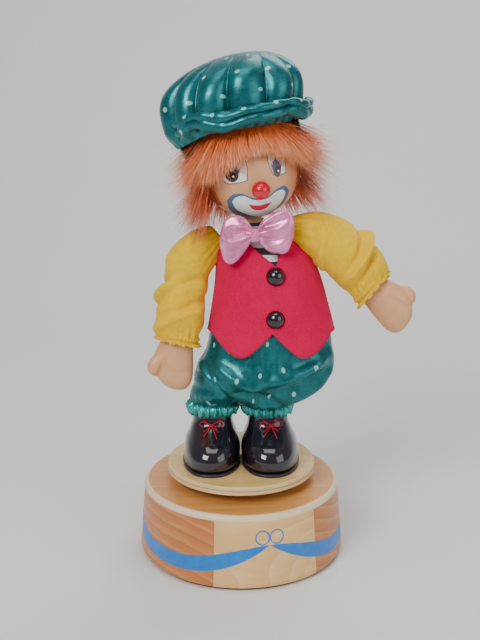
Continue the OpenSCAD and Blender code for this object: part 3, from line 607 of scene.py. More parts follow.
def block_wood(name):
    """The drum's wall: six upright blocks of two woods glued side by side."""
    c = colours()
    f = Finish(name, tuple(c.dark_wood), 0.42)
    lacquered(f)
    where = f.place()
    x, y, _ = f.split(where)
    turn = f.calc("ARCTAN2", x, f.calc("MULTIPLY", y, -1.0))
    block = f.calc("DIVIDE", f.calc("ADD", turn, math.radians(15.0)), math.radians(60.0))
    number = f.calc("FLOOR", block)
    pale = f.calc("COMPARE", number, 0.0, 0.3)
    offset = f.add("CombineXYZ", {0: f.calc("MULTIPLY", number, 0.019), 1: f.calc("MULTIPLY", number, 0.013),
                                  2: f.calc("MULTIPLY", number, 0.11)})
    shifted = f.add("VectorMath", {0: where, 1: offset.outputs[0]}, operation="ADD").outputs[0]
    lines, pores = grain(f, shifted, (0.2, 0.2, 1.0), (0.55, 1.15, 0.0), (0.0, 0.02, -0.03))
    rings = f.calc("MULTIPLY", f.calc("SUBTRACT", lines, 0.5), 0.34)
    share = f.calc("ADD", f.calc("ADD", f.calc("MULTIPLY", pores, 0.55), rings), 0.22)
    dark = tuple(c.dark_wood)
    light = tuple(c.light_wood)
    warm = f.ramp(share, [(0.2, tuple(v * 0.74 for v in dark)), (0.5, dark), (0.8, (0.70, 0.31, 0.09))])
    cream = f.ramp(share, [(0.2, tuple(v * 0.86 for v in light)), (0.5, light), (0.8, (0.82, 0.58, 0.28))])
    tone = f.mix(pale, warm, cream)
    other = f.calc("MULTIPLY", f.calc("SINE", f.calc("MULTIPLY", number, 2.3)), 0.12)
    tone = f.mix(f.calc("ABSOLUTE", other), tone, (0.33, 0.12, 0.05))
    seam = f.calc("ABSOLUTE", f.calc("SUBTRACT", f.calc("FRACT", f.calc("ADD", block, 0.5)), 0.5))
    joint = f.add("MapRange", {0: seam, 1: 0.0, 2: 0.006, 3: 0.55, 4: 0.0}).outputs[0]
    f.set("Base Color", f.mix(joint, tone, (0.20, 0.08, 0.03)))
    f.set("Roughness", f.ramp(pores, [(0.3, 0.36), (0.7, 0.52)]))
    f.bump(share, 0.25, 0.08)
    return f.mat


def board_wood(name, face, edge_colour, flat_z, ply=0.0):
    """A flat board: long straight grain on its face, and paler end grain or plies on its edge."""
    f = Finish(name, face, 0.42)
    lacquered(f)
    where = f.place()
    lines, pores = grain(f, where, (0.06, 1.0, 1.0), (0.0, 1.50, 0.0), (0.0, 0.0, 0.05))
    share = f.calc("ADD", f.calc("MULTIPLY", pores, 0.6), f.calc("MULTIPLY", lines, 0.22))
    tone = f.ramp(share, [(0.2, tuple(v * 0.80 for v in face)), (0.45, face),
                          (0.75, tuple(min(1, v * 1.14) for v in face))])
    edge = f.ramp(pores, [(0.3, tuple(v * 0.9 for v in edge_colour)), (0.7, edge_colour)])
    z = f.split(where)[2]
    if ply:
        line = f.calc("ABSOLUTE", f.calc("SUBTRACT", z, ply * MM))
        glue = f.add("MapRange", {0: line, 1: 0.00008, 2: 0.00026, 3: 0.75, 4: 0.0}).outputs[0]
        edge = f.mix(glue, edge, (0.30, 0.15, 0.06))
    up = f.split(f.add("NewGeometry").outputs["True Normal"])[2]
    on_face = f.add("MapRange", {0: up, 1: 0.90, 2: 0.985, 3: 0.0, 4: 1.0}).outputs[0]
    high = f.add("MapRange",
                 {0: z, 1: (flat_z - 0.25) * MM, 2: (flat_z - 0.1) * MM, 3: 0.0, 4: 1.0}).outputs[0]
    f.set("Base Color", f.mix(f.calc("MINIMUM", on_face, high), edge, tone))
    f.bump(share, 0.2, 0.06)
    return f.mat


def fur_finish(name, colour):
    """Strands: darker and redder at the root, paler and finer at the tip; the dark root is painted shade
    deep in the fur and the pale tip a painted highlight.
    """
    f = Finish(name, colour, 0.5, Sheen_Weight=0.2, Sheen_Roughness=0.4, Specular_IOR_Level=0.35)
    x, y, _ = f.split(f.cloth())
    tip = f.calc("DIVIDE", x, MM)
    shade_and_tone_share = f.calc("DIVIDE", y, MM)
    # root colour: painted shade deep in the fur; pale colour at the tip: painted highlight
    root = (colour[0] * 0.55, colour[1] * 0.38, colour[2] * 0.4)
    pale = (0.95, 0.50, 0.26)
    tone = f.ramp(tip, [(0.0, root), (0.3, colour), (0.8, (0.92, 0.33, 0.13)), (1.0, pale)])
    # each strand is mixed towards a darker red by its share: a random tone, plus painted shade on the head's
    # -X side
    f.set("Base Color", f.mix(f.calc("MULTIPLY", shade_and_tone_share, 0.45), tone, (0.66, 0.12, 0.045)))
    return f.mat


def striped(name):
    """Cotton with level black and white stripes."""
    f = Finish(name, (0.8, 0.8, 0.8), 0.85, Sheen_Weight=0.15)
    where = f.cloth()
    _, y, _ = f.split(where)
    band = f.calc("FRACT", f.calc("DIVIDE", y, 2 * sizes().stripe * MM))
    black = f.calc("GREATER_THAN", band, 0.5)
    fibre = f.noise(where, 900.0, 3.0)
    light = f.ramp(fibre, [(0.3, (0.60, 0.60, 0.62)), (0.7, (0.80, 0.80, 0.80))])
    dark = f.ramp(fibre, [(0.3, (0.010, 0.010, 0.014)), (0.7, (0.03, 0.03, 0.035))])
    f.set("Base Color", f.mix(black, light, dark))
    f.bump(fibre, 0.4, 0.08)
    return f.mat


# ---------- the drum ----------


class CLOWN_OT_drum(bpy.types.Operator):
    """Finish the wooden drum, its lid and its painted swags"""

    bl_idname = "clown.drum"
    bl_label = "Drum and swags"

    def execute(self, context):
        show("drum", block_wood("drum_blocks"))
        show("drum_lid", board_wood("drum_top", (0.60, 0.26, 0.062), (0.82, 0.64, 0.42), LID_HIGH[2]))
        show("felt_ring", felt("felt_foot", (0.012, 0.05, 0.03)))
        show("bottom_board", plain("hardboard", (0.16, 0.085, 0.04), 0.8, 500.0, 0.1))
        blue = paint("swag_paint", tuple(colours().swag), 0.4)
        bows, start = 3, math.radians(15.6)
        for k in range(bows):
            swag(k, start + k * 2 * math.pi / bows, 2 * math.pi / bows, blue)
            painted_bow(k, start + k * 2 * math.pi / bows, blue)
        return {"FINISHED"}


def show(node, finish):
    """Gives a frame node its finish."""
    mesh = frame["nodes"][node].data
    mesh.materials.clear()
    mesh.materials.append(finish)


def wall_point(turn, z, lift=0.05):
    """A point on the drum's sloping wall. turn is measured from the front towards +X."""
    bevel = 2.4
    foot = DRUM_LOW[2] + bevel
    slope = (LID_R - DRUM_R) / (DRUM_HIGH[2] - foot)
    r = DRUM_R + slope * (z - foot) + lift
    return np.stack([r * np.sin(turn), -r * np.cos(turn), z * np.ones_like(turn)], -1)


def swag(k, start, span, finish):
    """One painted swag, deepest midway between its two bows."""
    share = np.linspace(0, 1, 97)
    near = 1 - np.abs(2 * share - 1)
    top = 14.0 + 7.2 * ((1 + np.cos(math.pi * near)) / 2) ** 1.3
    low = 7.0 + 14.2 * (1 - near) ** 2.4
    low = np.minimum(low, top - 0.02)
    grid = np.stack([wall_point(start - span * share, low + (top - low) * t) for t in np.linspace(0, 1, 7)])
    grid_piece("swag_%d" % (k + 1), grid, finish, "base", "wood_drum")


def painted_bow(k, at, finish):
    """Two small painted rings where the swags meet."""
    r_out, line, height = 3.45, 0.62, 24.8
    around = full_turn(48)
    for side in (-1, 1):
        turn0 = at + side * 3.35 / DRUM_R
        rows = []
        for r in (r_out - line, r_out - line / 2, r_out):
            rows.append(wall_point(turn0 + r * np.cos(around) / DRUM_R, height + r * np.sin(around), 0.08))
        name = "bow_ring_%d_%s" % (k + 1, "a" if side < 0 else "b")
        grid_piece(name, np.stack(rows), finish, "base", "wood_drum", around=True)


# ---------- hidden works and turntable ----------


class CLOWN_OT_works(bpy.types.Operator):
    """Finish the music movement, the key and the screws"""

    bl_idname = "clown.works"
    bl_label = "Movement and key"

    def execute(self, context):
        steel = metal("zinc_steel", (0.62, 0.63, 0.66), 0.32)
        blued = metal("spring_steel", (0.16, 0.19, 0.27), 0.28)
        brass = metal("brass", (0.74, 0.52, 0.18), 0.27)
        cast = metal("cast_zinc", (0.50, 0.51, 0.53), 0.5, (1.0, 1.0, 1.0))
        nylon = plain("nylon", (0.78, 0.77, 0.70), 0.5)
        wood = plain("dowel_wood", (0.62, 0.42, 0.22), 0.6, 300.0)
        groups = {
            steel: ("board_screws", "key_bush", "bedplate_screws", "comb_screws", "winding_key",
                    "winding_arbor",
                    "spindle_nut", "cylinder_shaft", "governor_pinion", "worm_shaft", "disc_hub",
                    "hub_screws",
                    "shoe_screws", "arm_wire_left", "arm_wire_right"),
            blued: ("comb", "clutch_spring", "mainspring"),
            brass: ("bearings", "spring_barrel", "barrel_lid", "cylinder", "cylinder_pinion",
                    "cylinder_gear",
                    "governor_wheel"),
            cast: ("bedplate", "comb_block", "governor_bracket"),
            nylon: ("worm", "fan"),
            wood: ("leg_dowels", "neck_plug"),
        }
        for finish, nodes in groups.items():
            for node in nodes:
                show(node, finish)
        ply = (DISC_LOW[2] + DISC_HIGH[2]) / 2
        show("turning_disc", board_wood("disc_ply", (0.74, 0.48, 0.17), (0.78, 0.56, 0.27), DISC_HIGH[2],
                                        ply))
        return {"FINISHED"}


# ---------- shoes ----------


class CLOWN_OT_shoes(bpy.types.Operator):
    """Build the moulded shoes with their soles and laces"""

    bl_idname = "clown.shoes"
    bl_label = "Shoes"

    def execute(self, context):
        black = gloss("shoe_plastic", tuple(colours().shoe), 0.07)
        edge = plain("sole_plastic", (0.02, 0.016, 0.022), 0.4, 300.0)
        cord = woven("lace_cord", tuple(colours().laces), 0.4, 0.05)
        for side in ("left", "right"):
            shoe(side, black, edge, cord)
        return {"FINISHED"}


def shoe_outline(low, high, ankle_y, toe, heel, width, turn):
    """A ring of the shoe: blunt at the toe, round at the heel."""
    half = (high[0] - low[0]) / 2 * width
    front, back = (ankle_y - low[1]) * toe, (high[1] - ankle_y) * heel
    s, c = np.sin(turn), np.cos(turn)
    x = half * np.sign(c) * np.abs(c) ** np.where(s < 0, 0.86, 1.0)
    x = x * np.where(s > 0, 1 - 0.12 * s, 1 + 0.05 * np.abs(s))
    y = np.where(s > 0, back * s, -front * np.abs(s) ** 0.94)
    return x, y


def shoe(side, black, edge, cord):
    low, high = box("shoe_" + side)
    ankle = middle("leg_dowels")[1]
    sign = 1 if side == "left" else -1
    middle_x = (low[0] + high[0]) / 2
    ankle_x = middle_x - (1.4 if sign > 0 else -0.5)
    height = high[2] - low[2]
    floor = DISC_HIGH[2]
    turn = full_turn(72)
    shares = np.linspace(0, 1, 30)
    marks = [0, 0.05, 0.14, 0.28, 0.44, 0.58, 0.72, 0.86, 1.0]
    toe = curve_through(marks, [0.93, 0.985, 1.0, 0.985, 0.87, 0.655, 0.475, 0.42, 0.405], shares)
    heel = curve_through(marks, [0.96, 1.0, 1.0, 0.98, 0.95, 0.93, 0.9, 0.87, 0.86], shares)
    wide = curve_through(marks, [0.95, 0.99, 1.0, 0.985, 0.92, 0.81, 0.72, 0.69, 0.685], shares)
    rows = []
    for k, share in enumerate(shares):
        x, y = shoe_outline(low, high, ankle, toe[k], heel[k], wide[k], turn)
        x = x + ankle_x + (middle_x - ankle_x) * (1 - share)
        z = low[2] + height * share
        lift = 0.5 * smoothstep(-0.4, -1, np.sin(turn)) * (share > 0.9)
        rows.append(np.stack([x, ankle + y, z + lift], 1))
    for inset, drop in ((0.9, 0.25), (1.5, 1.2), (1.8, 3.5)):
        centre = rows[29].mean(0)
        ring = rows[29] + (centre - rows[29]) * inset / 9.5
        rows.append(ring - np.array([0, 0, drop]))
    grid = np.stack(rows)
    made = grid_piece("shoe_shell_" + side, grid, black, "turntable", "shoe_black", around=True,
                      ends="first last", replaces=("shoe_" + side,))
    modifier(made, "SUBSURF", levels=1, render_levels=1)
    soles = []
    for z, grow in ((0.02, -0.9), (0.02, -0.1), (0.35, 0.25), (1.0, 0.3), (1.35, 0.05), (1.4, -0.8)):
        x, y = shoe_outline(low, high, ankle, 1.0, 1.0, 1.0, turn)
        ring = np.stack([x + middle_x, ankle + y, np.full_like(x, floor + z)], 1)
        centre = np.array([middle_x, ankle - 6, floor + z])
        away = ring - centre
        ring = ring + away / np.linalg.norm(away, axis=1)[:, None] * grow
        ring[:, 2] = floor + z
        soles.append(ring)
    sole = grid_piece("sole_" + side, np.stack(soles), edge, "turntable", "sole_black", around=True,
                      ends="first last")
    if side == "left":
        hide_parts("soles")
    collar = along_path(np.vstack([rows[28], rows[28][:1]]), 0.42, 8)
    grid_piece("shoe_collar_" + side, collar[:-1], black, "turntable", "shoe_black", around=True,
               looped=True)
    laces(side, made, middle_x, low, high, cord)


def drape_on(made, points, lift):
    """Moves points that stand before a piece back onto its front, and lifts them off it."""
    graph = bpy.context.evaluated_depsgraph_get()
    tree = BVHTree.FromObject(made, graph)
    out = []
    for p in points:
        hit, normal, _, _ = tree.ray_cast(Vector((p[0], p[1] - 30, p[2])) * MM, Vector((0, 1, 0)))
        if hit is None:
            hit, normal, _, _ = tree.find_nearest(Vector(p) * MM)
        out.append(np.array(hit) / MM + np.array(normal) * lift)
    return np.array(out)


def laces(side, shell, x0, low, high, cord):
    """A crossed lace tied in a small bow with two loops and two tails."""
    top = high[2] - 6.0
    tie = np.array([x0, low[1], top])
    runs = {
        "cross_a": [(-3.4, -2.4), (0, 0.0), (3.4, 2.6)],
        "cross_b": [(3.4, -2.4), (0, 0.0), (-3.4, 2.6)],
        "loop_a": [(0, 0), (-1.7, 1.2), (-4.0, 1.5), (-4.9, 0.3), (-3.7, -0.6), (-1.6, -0.3), (0, 0)],
        "loop_b": [(0, 0), (1.7, 1.3), (4.1, 1.7), (5.0, 0.5), (3.8, -0.5), (1.6, -0.2), (0, 0)],
        "tail_a": [(0, 0), (-1.0, -1.4), (-2.2, -2.9), (-3.3, -4.0)],
        "tail_b": [(0, 0), (0.9, -1.5), (1.8, -3.2), (2.6, -4.6)],
    }
    first = None
    for k, (name, flat) in enumerate(runs.items()):
        path = smooth_path([(tie[0] + p[0], tie[1], tie[2] + p[1]) for p in flat], 26)
        laid = drape_on(shell, path, 0.34 + 0.12 * k)
        laid = smooth_path(laid, 34)
        tube = along_path(laid, 0.24, 8)
        made = grid_piece("lace_%s_%s" % (name, side), tube, cord, "turntable", "lace_red", around=True,
                          ends="first last", cloth=tube[:, :, :2])
        first = first or made
    knot = drape_on(shell, [tie], 0.7)[0]
    grid_piece("lace_knot_" + side, ball(knot, (0.95, 0.75, 0.8)), cord, "turntable", "lace_red",
               around=True,
               ends="first last", cloth=ball(knot, (0.95, 0.75, 0.8))[:, :, :2])
    if side == "left":
        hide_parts("laces")


def ball(centre, radii, rows=11, around=20):
    """The grid of a rounded form, without its two poles."""
    rise = np.linspace(-math.pi / 2, math.pi / 2, rows + 2)[1:-1]
    turn = full_turn(around)
    rise, turn = np.meshgrid(rise, turn, indexing="ij")
    unit = np.stack([np.cos(rise) * np.cos(turn), np.cos(rise) * np.sin(turn), np.sin(rise)], -1)
    return np.asarray(centre) + unit * np.asarray(radii)


# ---------- trousers ----------


def remesh(made, size, smooth_steps=6):
    """Melts overlapping forms into one skin."""
    modifier(made, "REMESH", mode="VOXEL", voxel_size=size * MM, use_smooth_shade=True)
    modifier(made, "SMOOTH", factor=0.5, iterations=smooth_steps)
    apply_modifiers(made)


def merged(name, forms, finish, body, slot, size, replaces=(), smooth_steps=6):
    """One piece melted from several closed grids of points."""
    points, faces = [], []
    for grid in forms:
        rows, cols = grid.shape[:2]
        start = len(points)
        points.extend(grid.reshape(-1, 3))
        faces.extend(tuple(start + i for i in f) for f in grid_faces(rows, cols, around=True))
        for ring, turn in ((0, 1), (rows - 1, -1)):
            at = len(points)
            points.append(grid[ring].mean(0))
            for i in range(cols):
                pair = [start + ring * cols + (i + 1) % cols, start + ring * cols + i][::turn]
                faces.append((pair[0], pair[1], at))
    made = piece(name, points, faces, finish, body, slot, replaces=replaces)
    remesh(made, size, smooth_steps)
    made.data.polygons.foreach_set("use_smooth", [True] * len(made.data.polygons))
    return made


def ovals(rows, cols=56):
    """Rings of points from (z, x, y, half width, half depth)."""
    turn = full_turn(cols)
    return np.stack([
        np.stack([x + rx * np.cos(turn), y + ry * np.sin(turn), np.full(cols, z)], 1) for z, x, y, rx,
        ry in rows
    ])


class CLOWN_OT_trousers(bpy.types.Operator):
    """Build the full satin trousers with their gathered ankles and frills"""

    bl_idname = "clown.trousers"
    bl_label = "Trousers"

    def execute(self, context):
        low, high = box("trousers")
        cloth = satin("trouser_satin", tuple(colours().satin), dots=True)
        rise = high[2] - low[2]
        legs = sorted(foot_places(), key=lambda p: p[0])
        mid = (legs[0][0] + legs[1][0]) / 2
        seat = [(0.13, 1.5, 15, 9), (0.2, 3, 23, 14), (0.33, 5, 27, 18), (0.5, 7.5, 30, 20.5),
                (0.68, 10, 31.6, 21.6),
                (0.84, 11.6, 31.4, 21.4), (0.95, 12.4, 30.0, 20.5), (1.08, 13.0, 28.9, 19.8),
                (1.3, 13.3, 28.1, 19.25),
                (1.52, 13.4, 27.8, 19.0), (1.56, 13.4, 27.0, 18.4)]
        forms = [ovals([(low[2] + rise * k, x, 1, rx, ry) for k, x, rx, ry in seat])]
        for x, y in legs:
            lean = 0.12 * (x - mid)
            forms.append(ovals([
                (low[2] - 0.6, x, y, 9.7, 9.7), (low[2] + 1.2, x, y, 10.5, 10.8),
                (low[2] + 4, x - lean, y - 0.5, 12.6, 13.2),
                (low[2] + 8, x - lean * 2, 0.6, 13.2, 15.4), (low[2] + 12, x - lean * 3, 1, 11, 14),
            ]))
        made = merged("trousers_cloth", forms, cloth, "turntable", "satin_teal", 1.0, replaces=("trousers",))
        points, normals = points_of(made), normals_of(made)
        points = points + normals * trouser_folds(points, low, high, legs)[:, None]
        move_points(made, points)
        z_from_low = points[:, 2] - low[2]
        turn = np.arctan2(points[:, 1], points[:, 0] - 7)
        lay_cloth(made, np.stack([turn * 27, z_from_low + 3 * np.sin(turn * 2), 0 * turn], 1))
        modifier(made, "SMOOTH", factor=0.4, iterations=2)
        rounded(made)
        for k, (x, y) in enumerate(legs):
            frill(k, x, y)
        return {"FINISHED"}


def foot_places():
    """Where the two legs stand."""
    out = []
    for side in ("right", "left"):
        low, high = box("shoe_" + side)
        out.append(((low[0] + high[0]) / 2 + (0.5 if side == "right" else -1.4), middle("leg_dowels")[1]))
    return out


def trouser_folds(points, low, high, legs):
    """How far each point of the trousers stands out.

    It gathers at both ends, with long slanting folds between.
    """
    x, y, z = points.T
    share = (z - low[2]) / (high[2] - low[2])
    out = 0.6 * crumple(points, 22, 3) * smoothstep(0.02, 0.2, share) * (1 - smoothstep(0.95, 1.2, share))
    near = np.stack([np.hypot(x - a, y - b) for a, b in legs])
    which = near.argmin(0)
    centre = np.array(legs)[which]
    turn = np.arctan2(y - centre[:, 1], x - centre[:, 0])
    gather = np.clip(1 - (z - low[2]) / 9.5, 0, 1) ** 1.2
    out += gather * (0.65 * np.sin(19 * turn + which * 2 + 0.9 * np.sin(3 * turn)) + 0.3 * np.sin(31 * turn))
    waist_turn = np.arctan2(y - 1, x - 13)
    pleats = smoothstep(0.62, 1.0, share) * (1 - 0.8 * smoothstep(1.0, 1.25, share))
    out += pleats * 0.32 * np.sin(17 * waist_turn + 1.6 * np.sin(4 * waist_turn))
    # long folds that sweep from the waist down across the front: place, slant, height and width
    front = smoothstep(4, -10, y)
    for x0, z0, slant, deep, wide, reach in (
        (19, 76.5, 0.30, 3.0, 2.5, 19), (22, 84.0, 0.26, -1.9, 1.9, 18), (25, 90.0, 0.34, 1.7, 2.6, 15),
        (0, 86.0, -0.55, 1.7, 2.6, 12), (-9, 82.0, -1.3, -1.4, 1.8, 9), (6, 79.0, -0.15, -2.3, 1.9, 9),
        (33, 80.0, 0.9, 1.5, 2.4, 12), (-14, 88.0, -0.8, 1.1, 2.6, 10), (12, 71.5, 0.1, -1.6, 2.0, 7),
    ):
        dx = x - x0
        line = z - z0 - slant * dx - 0.006 * dx * dx
        out += front * deep * 1.3 * np.exp(-(line / (wide * 1.1)) ** 2) * np.exp(-(dx / reach) ** 4)
    back = smoothstep(-2, 12, y)
    for k in range(7):
        x0, slant = -14 + k * 8.0, (-1) ** k * 0.7
        line = (x - x0) - slant * (z - 82)
        out += back * 1.0 * np.exp(-(line / 2.2) ** 2) * smoothstep(0.1, 0.4,
                                                                    share) * (1 - smoothstep(0.85, 1, share))
    return out


def frill(k, x, y):
    """The frayed satin frill round one ankle."""
    pale = satin("frill_satin_%d" % (k + 1), (0.03, 0.36, 0.33))
    cols, rows = 200, 9
    turn = full_turn(cols)
    base = middle("trouser_frills")[2]
    # the strip is 10 mm wide: its upper part is tucked and sewn inside the trouser leg
    bottom = base - 2.0
    top = bottom + 10.0
    grid = np.zeros((rows, cols, 3))
    flat = np.zeros((rows, cols, 2))
    fray = np.random.default_rng(40 + k).normal(size=cols) * 0.16
    for j, t in enumerate(np.linspace(0, 1, rows)):
        wave = 0.62 * np.sin(24 * turn + 1.3 * np.sin(5 * turn)) + 0.25 * np.sin(43 * turn)
        free = float(smoothstep(0.42, 0.62, t))
        r = 9.4 + 1.5 * free + 1.1 * math.sin(math.pi * t) * free + wave * (0.2 + 1.0 * free)
        z = top + (bottom - top) * t + (fray * t) + 0.3 * np.sin(11 * turn + 2) * t
        grid[j] = np.stack([x + r * np.cos(turn), y + r * np.sin(turn), z], 1)
        flat[j] = np.stack([turn * 12, np.full(cols, (top - bottom) * t)], 1)
    made = grid_piece("ankle_frill_%d" % (k + 1), grid, pale, "turntable", "satin_teal", around=True,
                      cloth=flat)
    thicken(made, 0.25)
    if k == 0:
        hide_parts("trouser_frills")


# ---------- body, vest and bow tie ----------


def body_at(u):
    """Side shift, half width and half depth of the body at a share of its height."""
    u = np.asarray(u, float)
    shares, widths, depths = np.array(BODY_ROWS).T
    shift = np.where(u > 0, -SWAY * np.abs(u) ** 3, 0)
    return shift, CHEST_RX * np.interp(u, shares, widths), CHEST_RY * np.interp(u, shares, depths)


def body_point(turn, u, grow):
    shift, rx, ry = body_at(u)
    return np.stack([WAIST[0] + shift + (rx + grow) * np.cos(turn), WAIST[1] + (ry + grow) * np.sin(turn),
                     WAIST[2] + CHEST_H * u + 0 * turn], -1)


class CLOWN_OT_body(bpy.types.Operator):
    """Build the stuffed body, its striped shirt, its felt vest and its bow tie"""

    bl_idname = "clown.body"
    bl_label = "Shirt, vest and bow tie"

    def execute(self, context):
        shirt_front()
        yoke()
        vest_shape()
        show("vest_buttons", gloss("button_plastic", (0.006, 0.004, 0.006), 0.09))
        bow_tie_shape()
        return {"FINISHED"}


def shirt_front():
    turn = full_turn(96)
    rows = np.linspace(-0.06, 0.99, 46)
    grid = np.stack([body_point(turn, u, 0.0) for u in rows])
    flat = np.stack([np.stack([turn * 24, np.full(96, CHEST_H * u)], 1) for u in rows])
    grid = grid + 0.25 * crumple(grid, 14, 11)[:, :, None] * outward(turn)
    grid = np.concatenate([grid, grid[-1:] * 0.5 + grid[-1:].mean(1, keepdims=True) * 0.5])
    flat = np.concatenate([flat, flat[-1:]])
    made = grid_piece("shirt_body", grid, striped("shirt_stripes"), "turntable", "cotton_stripe",
                      around=True,
                      ends="first last", cloth=flat, replaces=("striped_shirt",))


def yoke():
    """Yellow cotton across the back and both shoulders, open at the front."""
    finish = woven("yoke_cotton", tuple(colours().shirt), sizes().thread)
    cols = 110
    turn = np.linspace(math.radians(-90 + 24), math.radians(270 - 24), cols)
    rows = np.linspace(0.78, 0.985, 20)
    grid = np.stack([body_point(turn, u, 0.75 + 3.2 * float(smoothstep(0.84, 0.93, u))) for u in rows])
    grid = grid + 0.3 * crumple(grid, 10, 5)[:, :, None] * outward(turn)
    flat = np.stack([np.stack([turn * 15, np.full(cols, CHEST_H * u)], 1) for u in rows])
    made = grid_piece("shirt_yoke", grid, finish, "turntable", "cotton_yellow", cloth=flat)
    thicken(made, 0.35)


def vest_shape():
    felt_t, gap = 1.2, 0.5
    cols, rows = 300, 40
    turn = full_turn(cols)
    front = np.sin(turn) < 0
    x = (CHEST_RX + 2) * np.cos(turn)
    hem = np.interp(np.abs(x - 0.3), [0, 9.5, 12, 15, 19, 27], [9.6, 0.2, -1.2, -1.3, 0.8, 7])
    low = np.where(front, hem, 7.0)
    _, wide, _ = body_at(0.8)
    at = wide * np.cos(turn) - SWAY * 0.8 ** 3
    neckline = CHEST_H * 0.68 + np.abs(at + 1) * np.where(at < -1, 1.15, 1.9)
    high = np.where(front, np.minimum(CHEST_H * 0.88, neckline), CHEST_H * 0.88)

    def skin_row(t, grow):
        h = low + (high - low) * t
        u = h / CHEST_H
        flare = np.interp(u, [-0.08, 0, 0.14], [3.0, 2.6, 0])
        shift, rx, ry = body_at(u)
        px = WAIST[0] + shift + (rx + grow + flare) * np.cos(turn)
        py = WAIST[1] + (ry + grow + flare) * np.sin(turn)
        # the left front laps over the right one
        lap = smoothstep(-0.35, 0.35, px - (WAIST[0] - 2.6 + shift * 0.3)) * 0.5 * smoothstep(0.0, -0.6,
                                                                                              np.sin(turn))
        lap = lap * smoothstep(22, 10, px - WAIST[0])
        return np.stack([px, py - lap, WAIST[2] + h], 1)

    shares = np.linspace(0, 1, rows)
    outer = [skin_row(t, gap + felt_t) for t in shares]
    inner = [skin_row(t, gap) for t in shares[::-1]]
    rim_low = skin_row(0, gap + felt_t / 2) - np.array([0, 0, 0.25])
    rim_high = skin_row(1, gap + felt_t / 2) + np.array([0, 0, 0.25])
    grid = np.stack([rim_low] + outer + [rim_high] + inner)
    centre = np.array([WAIST[0], WAIST[1], 0])
    away = (grid - centre) * np.array([1, 1, 0])
    away /= np.linalg.norm(away, axis=2)[:, :, None]
    soft = 0.45 * crumple(grid, 26, 21)
    grid = grid + away * np.abs(soft)[:, :, None]
    made = grid_piece("vest_felt", grid, felt("vest_felt", tuple(colours().vest)), "turntable", "felt_red",
                      around=True, looped=True, replaces=("vest",))


def bow_tie_shape():
    knot_low, knot_high = box("bow_knot")
    knot = (knot_low + knot_high) / 2
    finish = satin("bow_satin", tuple(colours().ribbon))
    lobes = {
        # side: places out from the knot: across, height of the middle, half height, half depth
        "right": (-1, [(1.2, 0.3, 2.4, 1.6), (3.0, 0.3, 5.4, 2.3), (5.6, -0.6, 8.4, 2.8),
                       (8.6, -2.0, 10.2, 2.9),
                       (11.6, -2.8, 10.0, 2.5), (13.9, -2.9, 7.4, 1.8), (15.2, -2.8, 2.6, 0.8)]),
        "left": (1, [(1.2, 0.3, 2.4, 1.6), (3.2, 0.6, 5.6, 2.3), (6.2, 0.5, 8.2, 2.7), (9.4, 0.8, 9.2, 2.6),
                     (12.6, 1.8, 8.8, 2.2), (15.2, 3.2, 6.6, 1.6), (16.8, 4.2, 2.4, 0.7)]),
    }
    for side, (sign, marks) in lobes.items():
        marks = np.array(marks)
        out = np.linspace(marks[0, 0], marks[-1, 0], 46)
        lift, tall, deep = (curve_through(marks[:, 0], marks[:, k], out) for k in (1, 2, 3))
        turn = full_turn(64)
        rows, flat = [], []
        folds = ((0.34, 2.0), (-0.50, 1.5)) if side == "left" else ((0.08, 2.2), (-0.74, 1.1))
        for j, d in enumerate(out):
            near = math.exp(-((d - 1.2) / 6.5) ** 2)
            pleat = near * (0.42 * np.sin(9 * turn + sign) + 0.2 * np.sin(15 * turn))
            # creases fan out from the knot and fade before the lobe's edge
            height = np.cos(turn)
            fade = smoothstep(0.5, 4, d) * smoothstep(15.5, 9, d)
            crease = sum(deep_k * np.exp(-((height - at_k - 0.02 * d) / 0.21) ** 2)
                         for at_k, deep_k in folds)
            crease = crease * fade * np.where(np.sin(turn) > 0, 1.0, 0.4)
            point = 0.0
            if side == "left":
                point = -2.2 * smoothstep(9, 15, d) * np.clip(-np.cos(turn), 0, 1) ** 2
            y = knot[1] - 0.4 - (deep[j] + pleat - crease) * np.sin(turn)
            z = knot[2] + lift[j] + (tall[j] + pleat * 0.5) * np.cos(turn) + point
            rows.append(np.stack([np.full(64, knot[0] + sign * d), y, z], 1))
            flat.append(np.stack([np.full(64, d), turn * 6], 1))
        grid = np.stack(rows)
        grid[:, :, 1] += 0.35 * crumple(grid, 7, 31 + sign)
        if sign > 0:
            grid = grid[:, ::-1]
        made = grid_piece("bow_lobe_" + side, grid, finish, "turntable", "satin_pink", around=True,
                          ends="first last", cloth=np.stack(flat),
                          replaces=("bow_tie",) if side == "left" else ())
    turn = full_turn(40)
    rows, flat = [], []
    for h in np.linspace(-1, 1, 15):
        half = 2.1 + 0.25 * h * h
        wrap = 0.16 * np.sin(7 * turn + h * 2)
        rows.append(np.stack([knot[0] + (half + wrap) * np.cos(turn),
                              knot[1] - 0.6 + (2.5 + wrap) * np.sin(turn),
                              knot[2] + 2.9 * h + 0 * turn], 1))
        flat.append(np.stack([turn * 3, np.full(40, 3 * h)], 1))
    made = grid_piece("bow_wrap", np.stack(rows), finish, "turntable", "satin_pink", around=True,
                      ends="first last", cloth=np.stack(flat), replaces=("bow_knot",))
    rounded(made)


# ---------- arms ----------


class CLOWN_OT_arms(bpy.types.Operator):
    """Build the puffed cotton sleeves, their shirred cuffs and the vinyl mitten hands"""

    bl_idname = "clown.arms"
    bl_label = "Sleeves and hands"

    def execute(self, context):
        cotton = woven("sleeve_cotton", tuple(colours().shirt), sizes().thread)
        skin = vinyl("hand_vinyl", tuple(colours().skin))
        for side in ("left", "right"):
            sleeve(side, cotton)
            mitten(side, skin)
        return {"FINISHED"}


def arm_line(side):
    """Shoulder and cuff of an arm, and the direction between them."""
    shoulder = joint_place("arm_%s_lift" % side)
    cuff = middle("cuff_" + side)
    way = cuff - shoulder
    length = np.linalg.norm(way)
    return shoulder, cuff, way / length, length


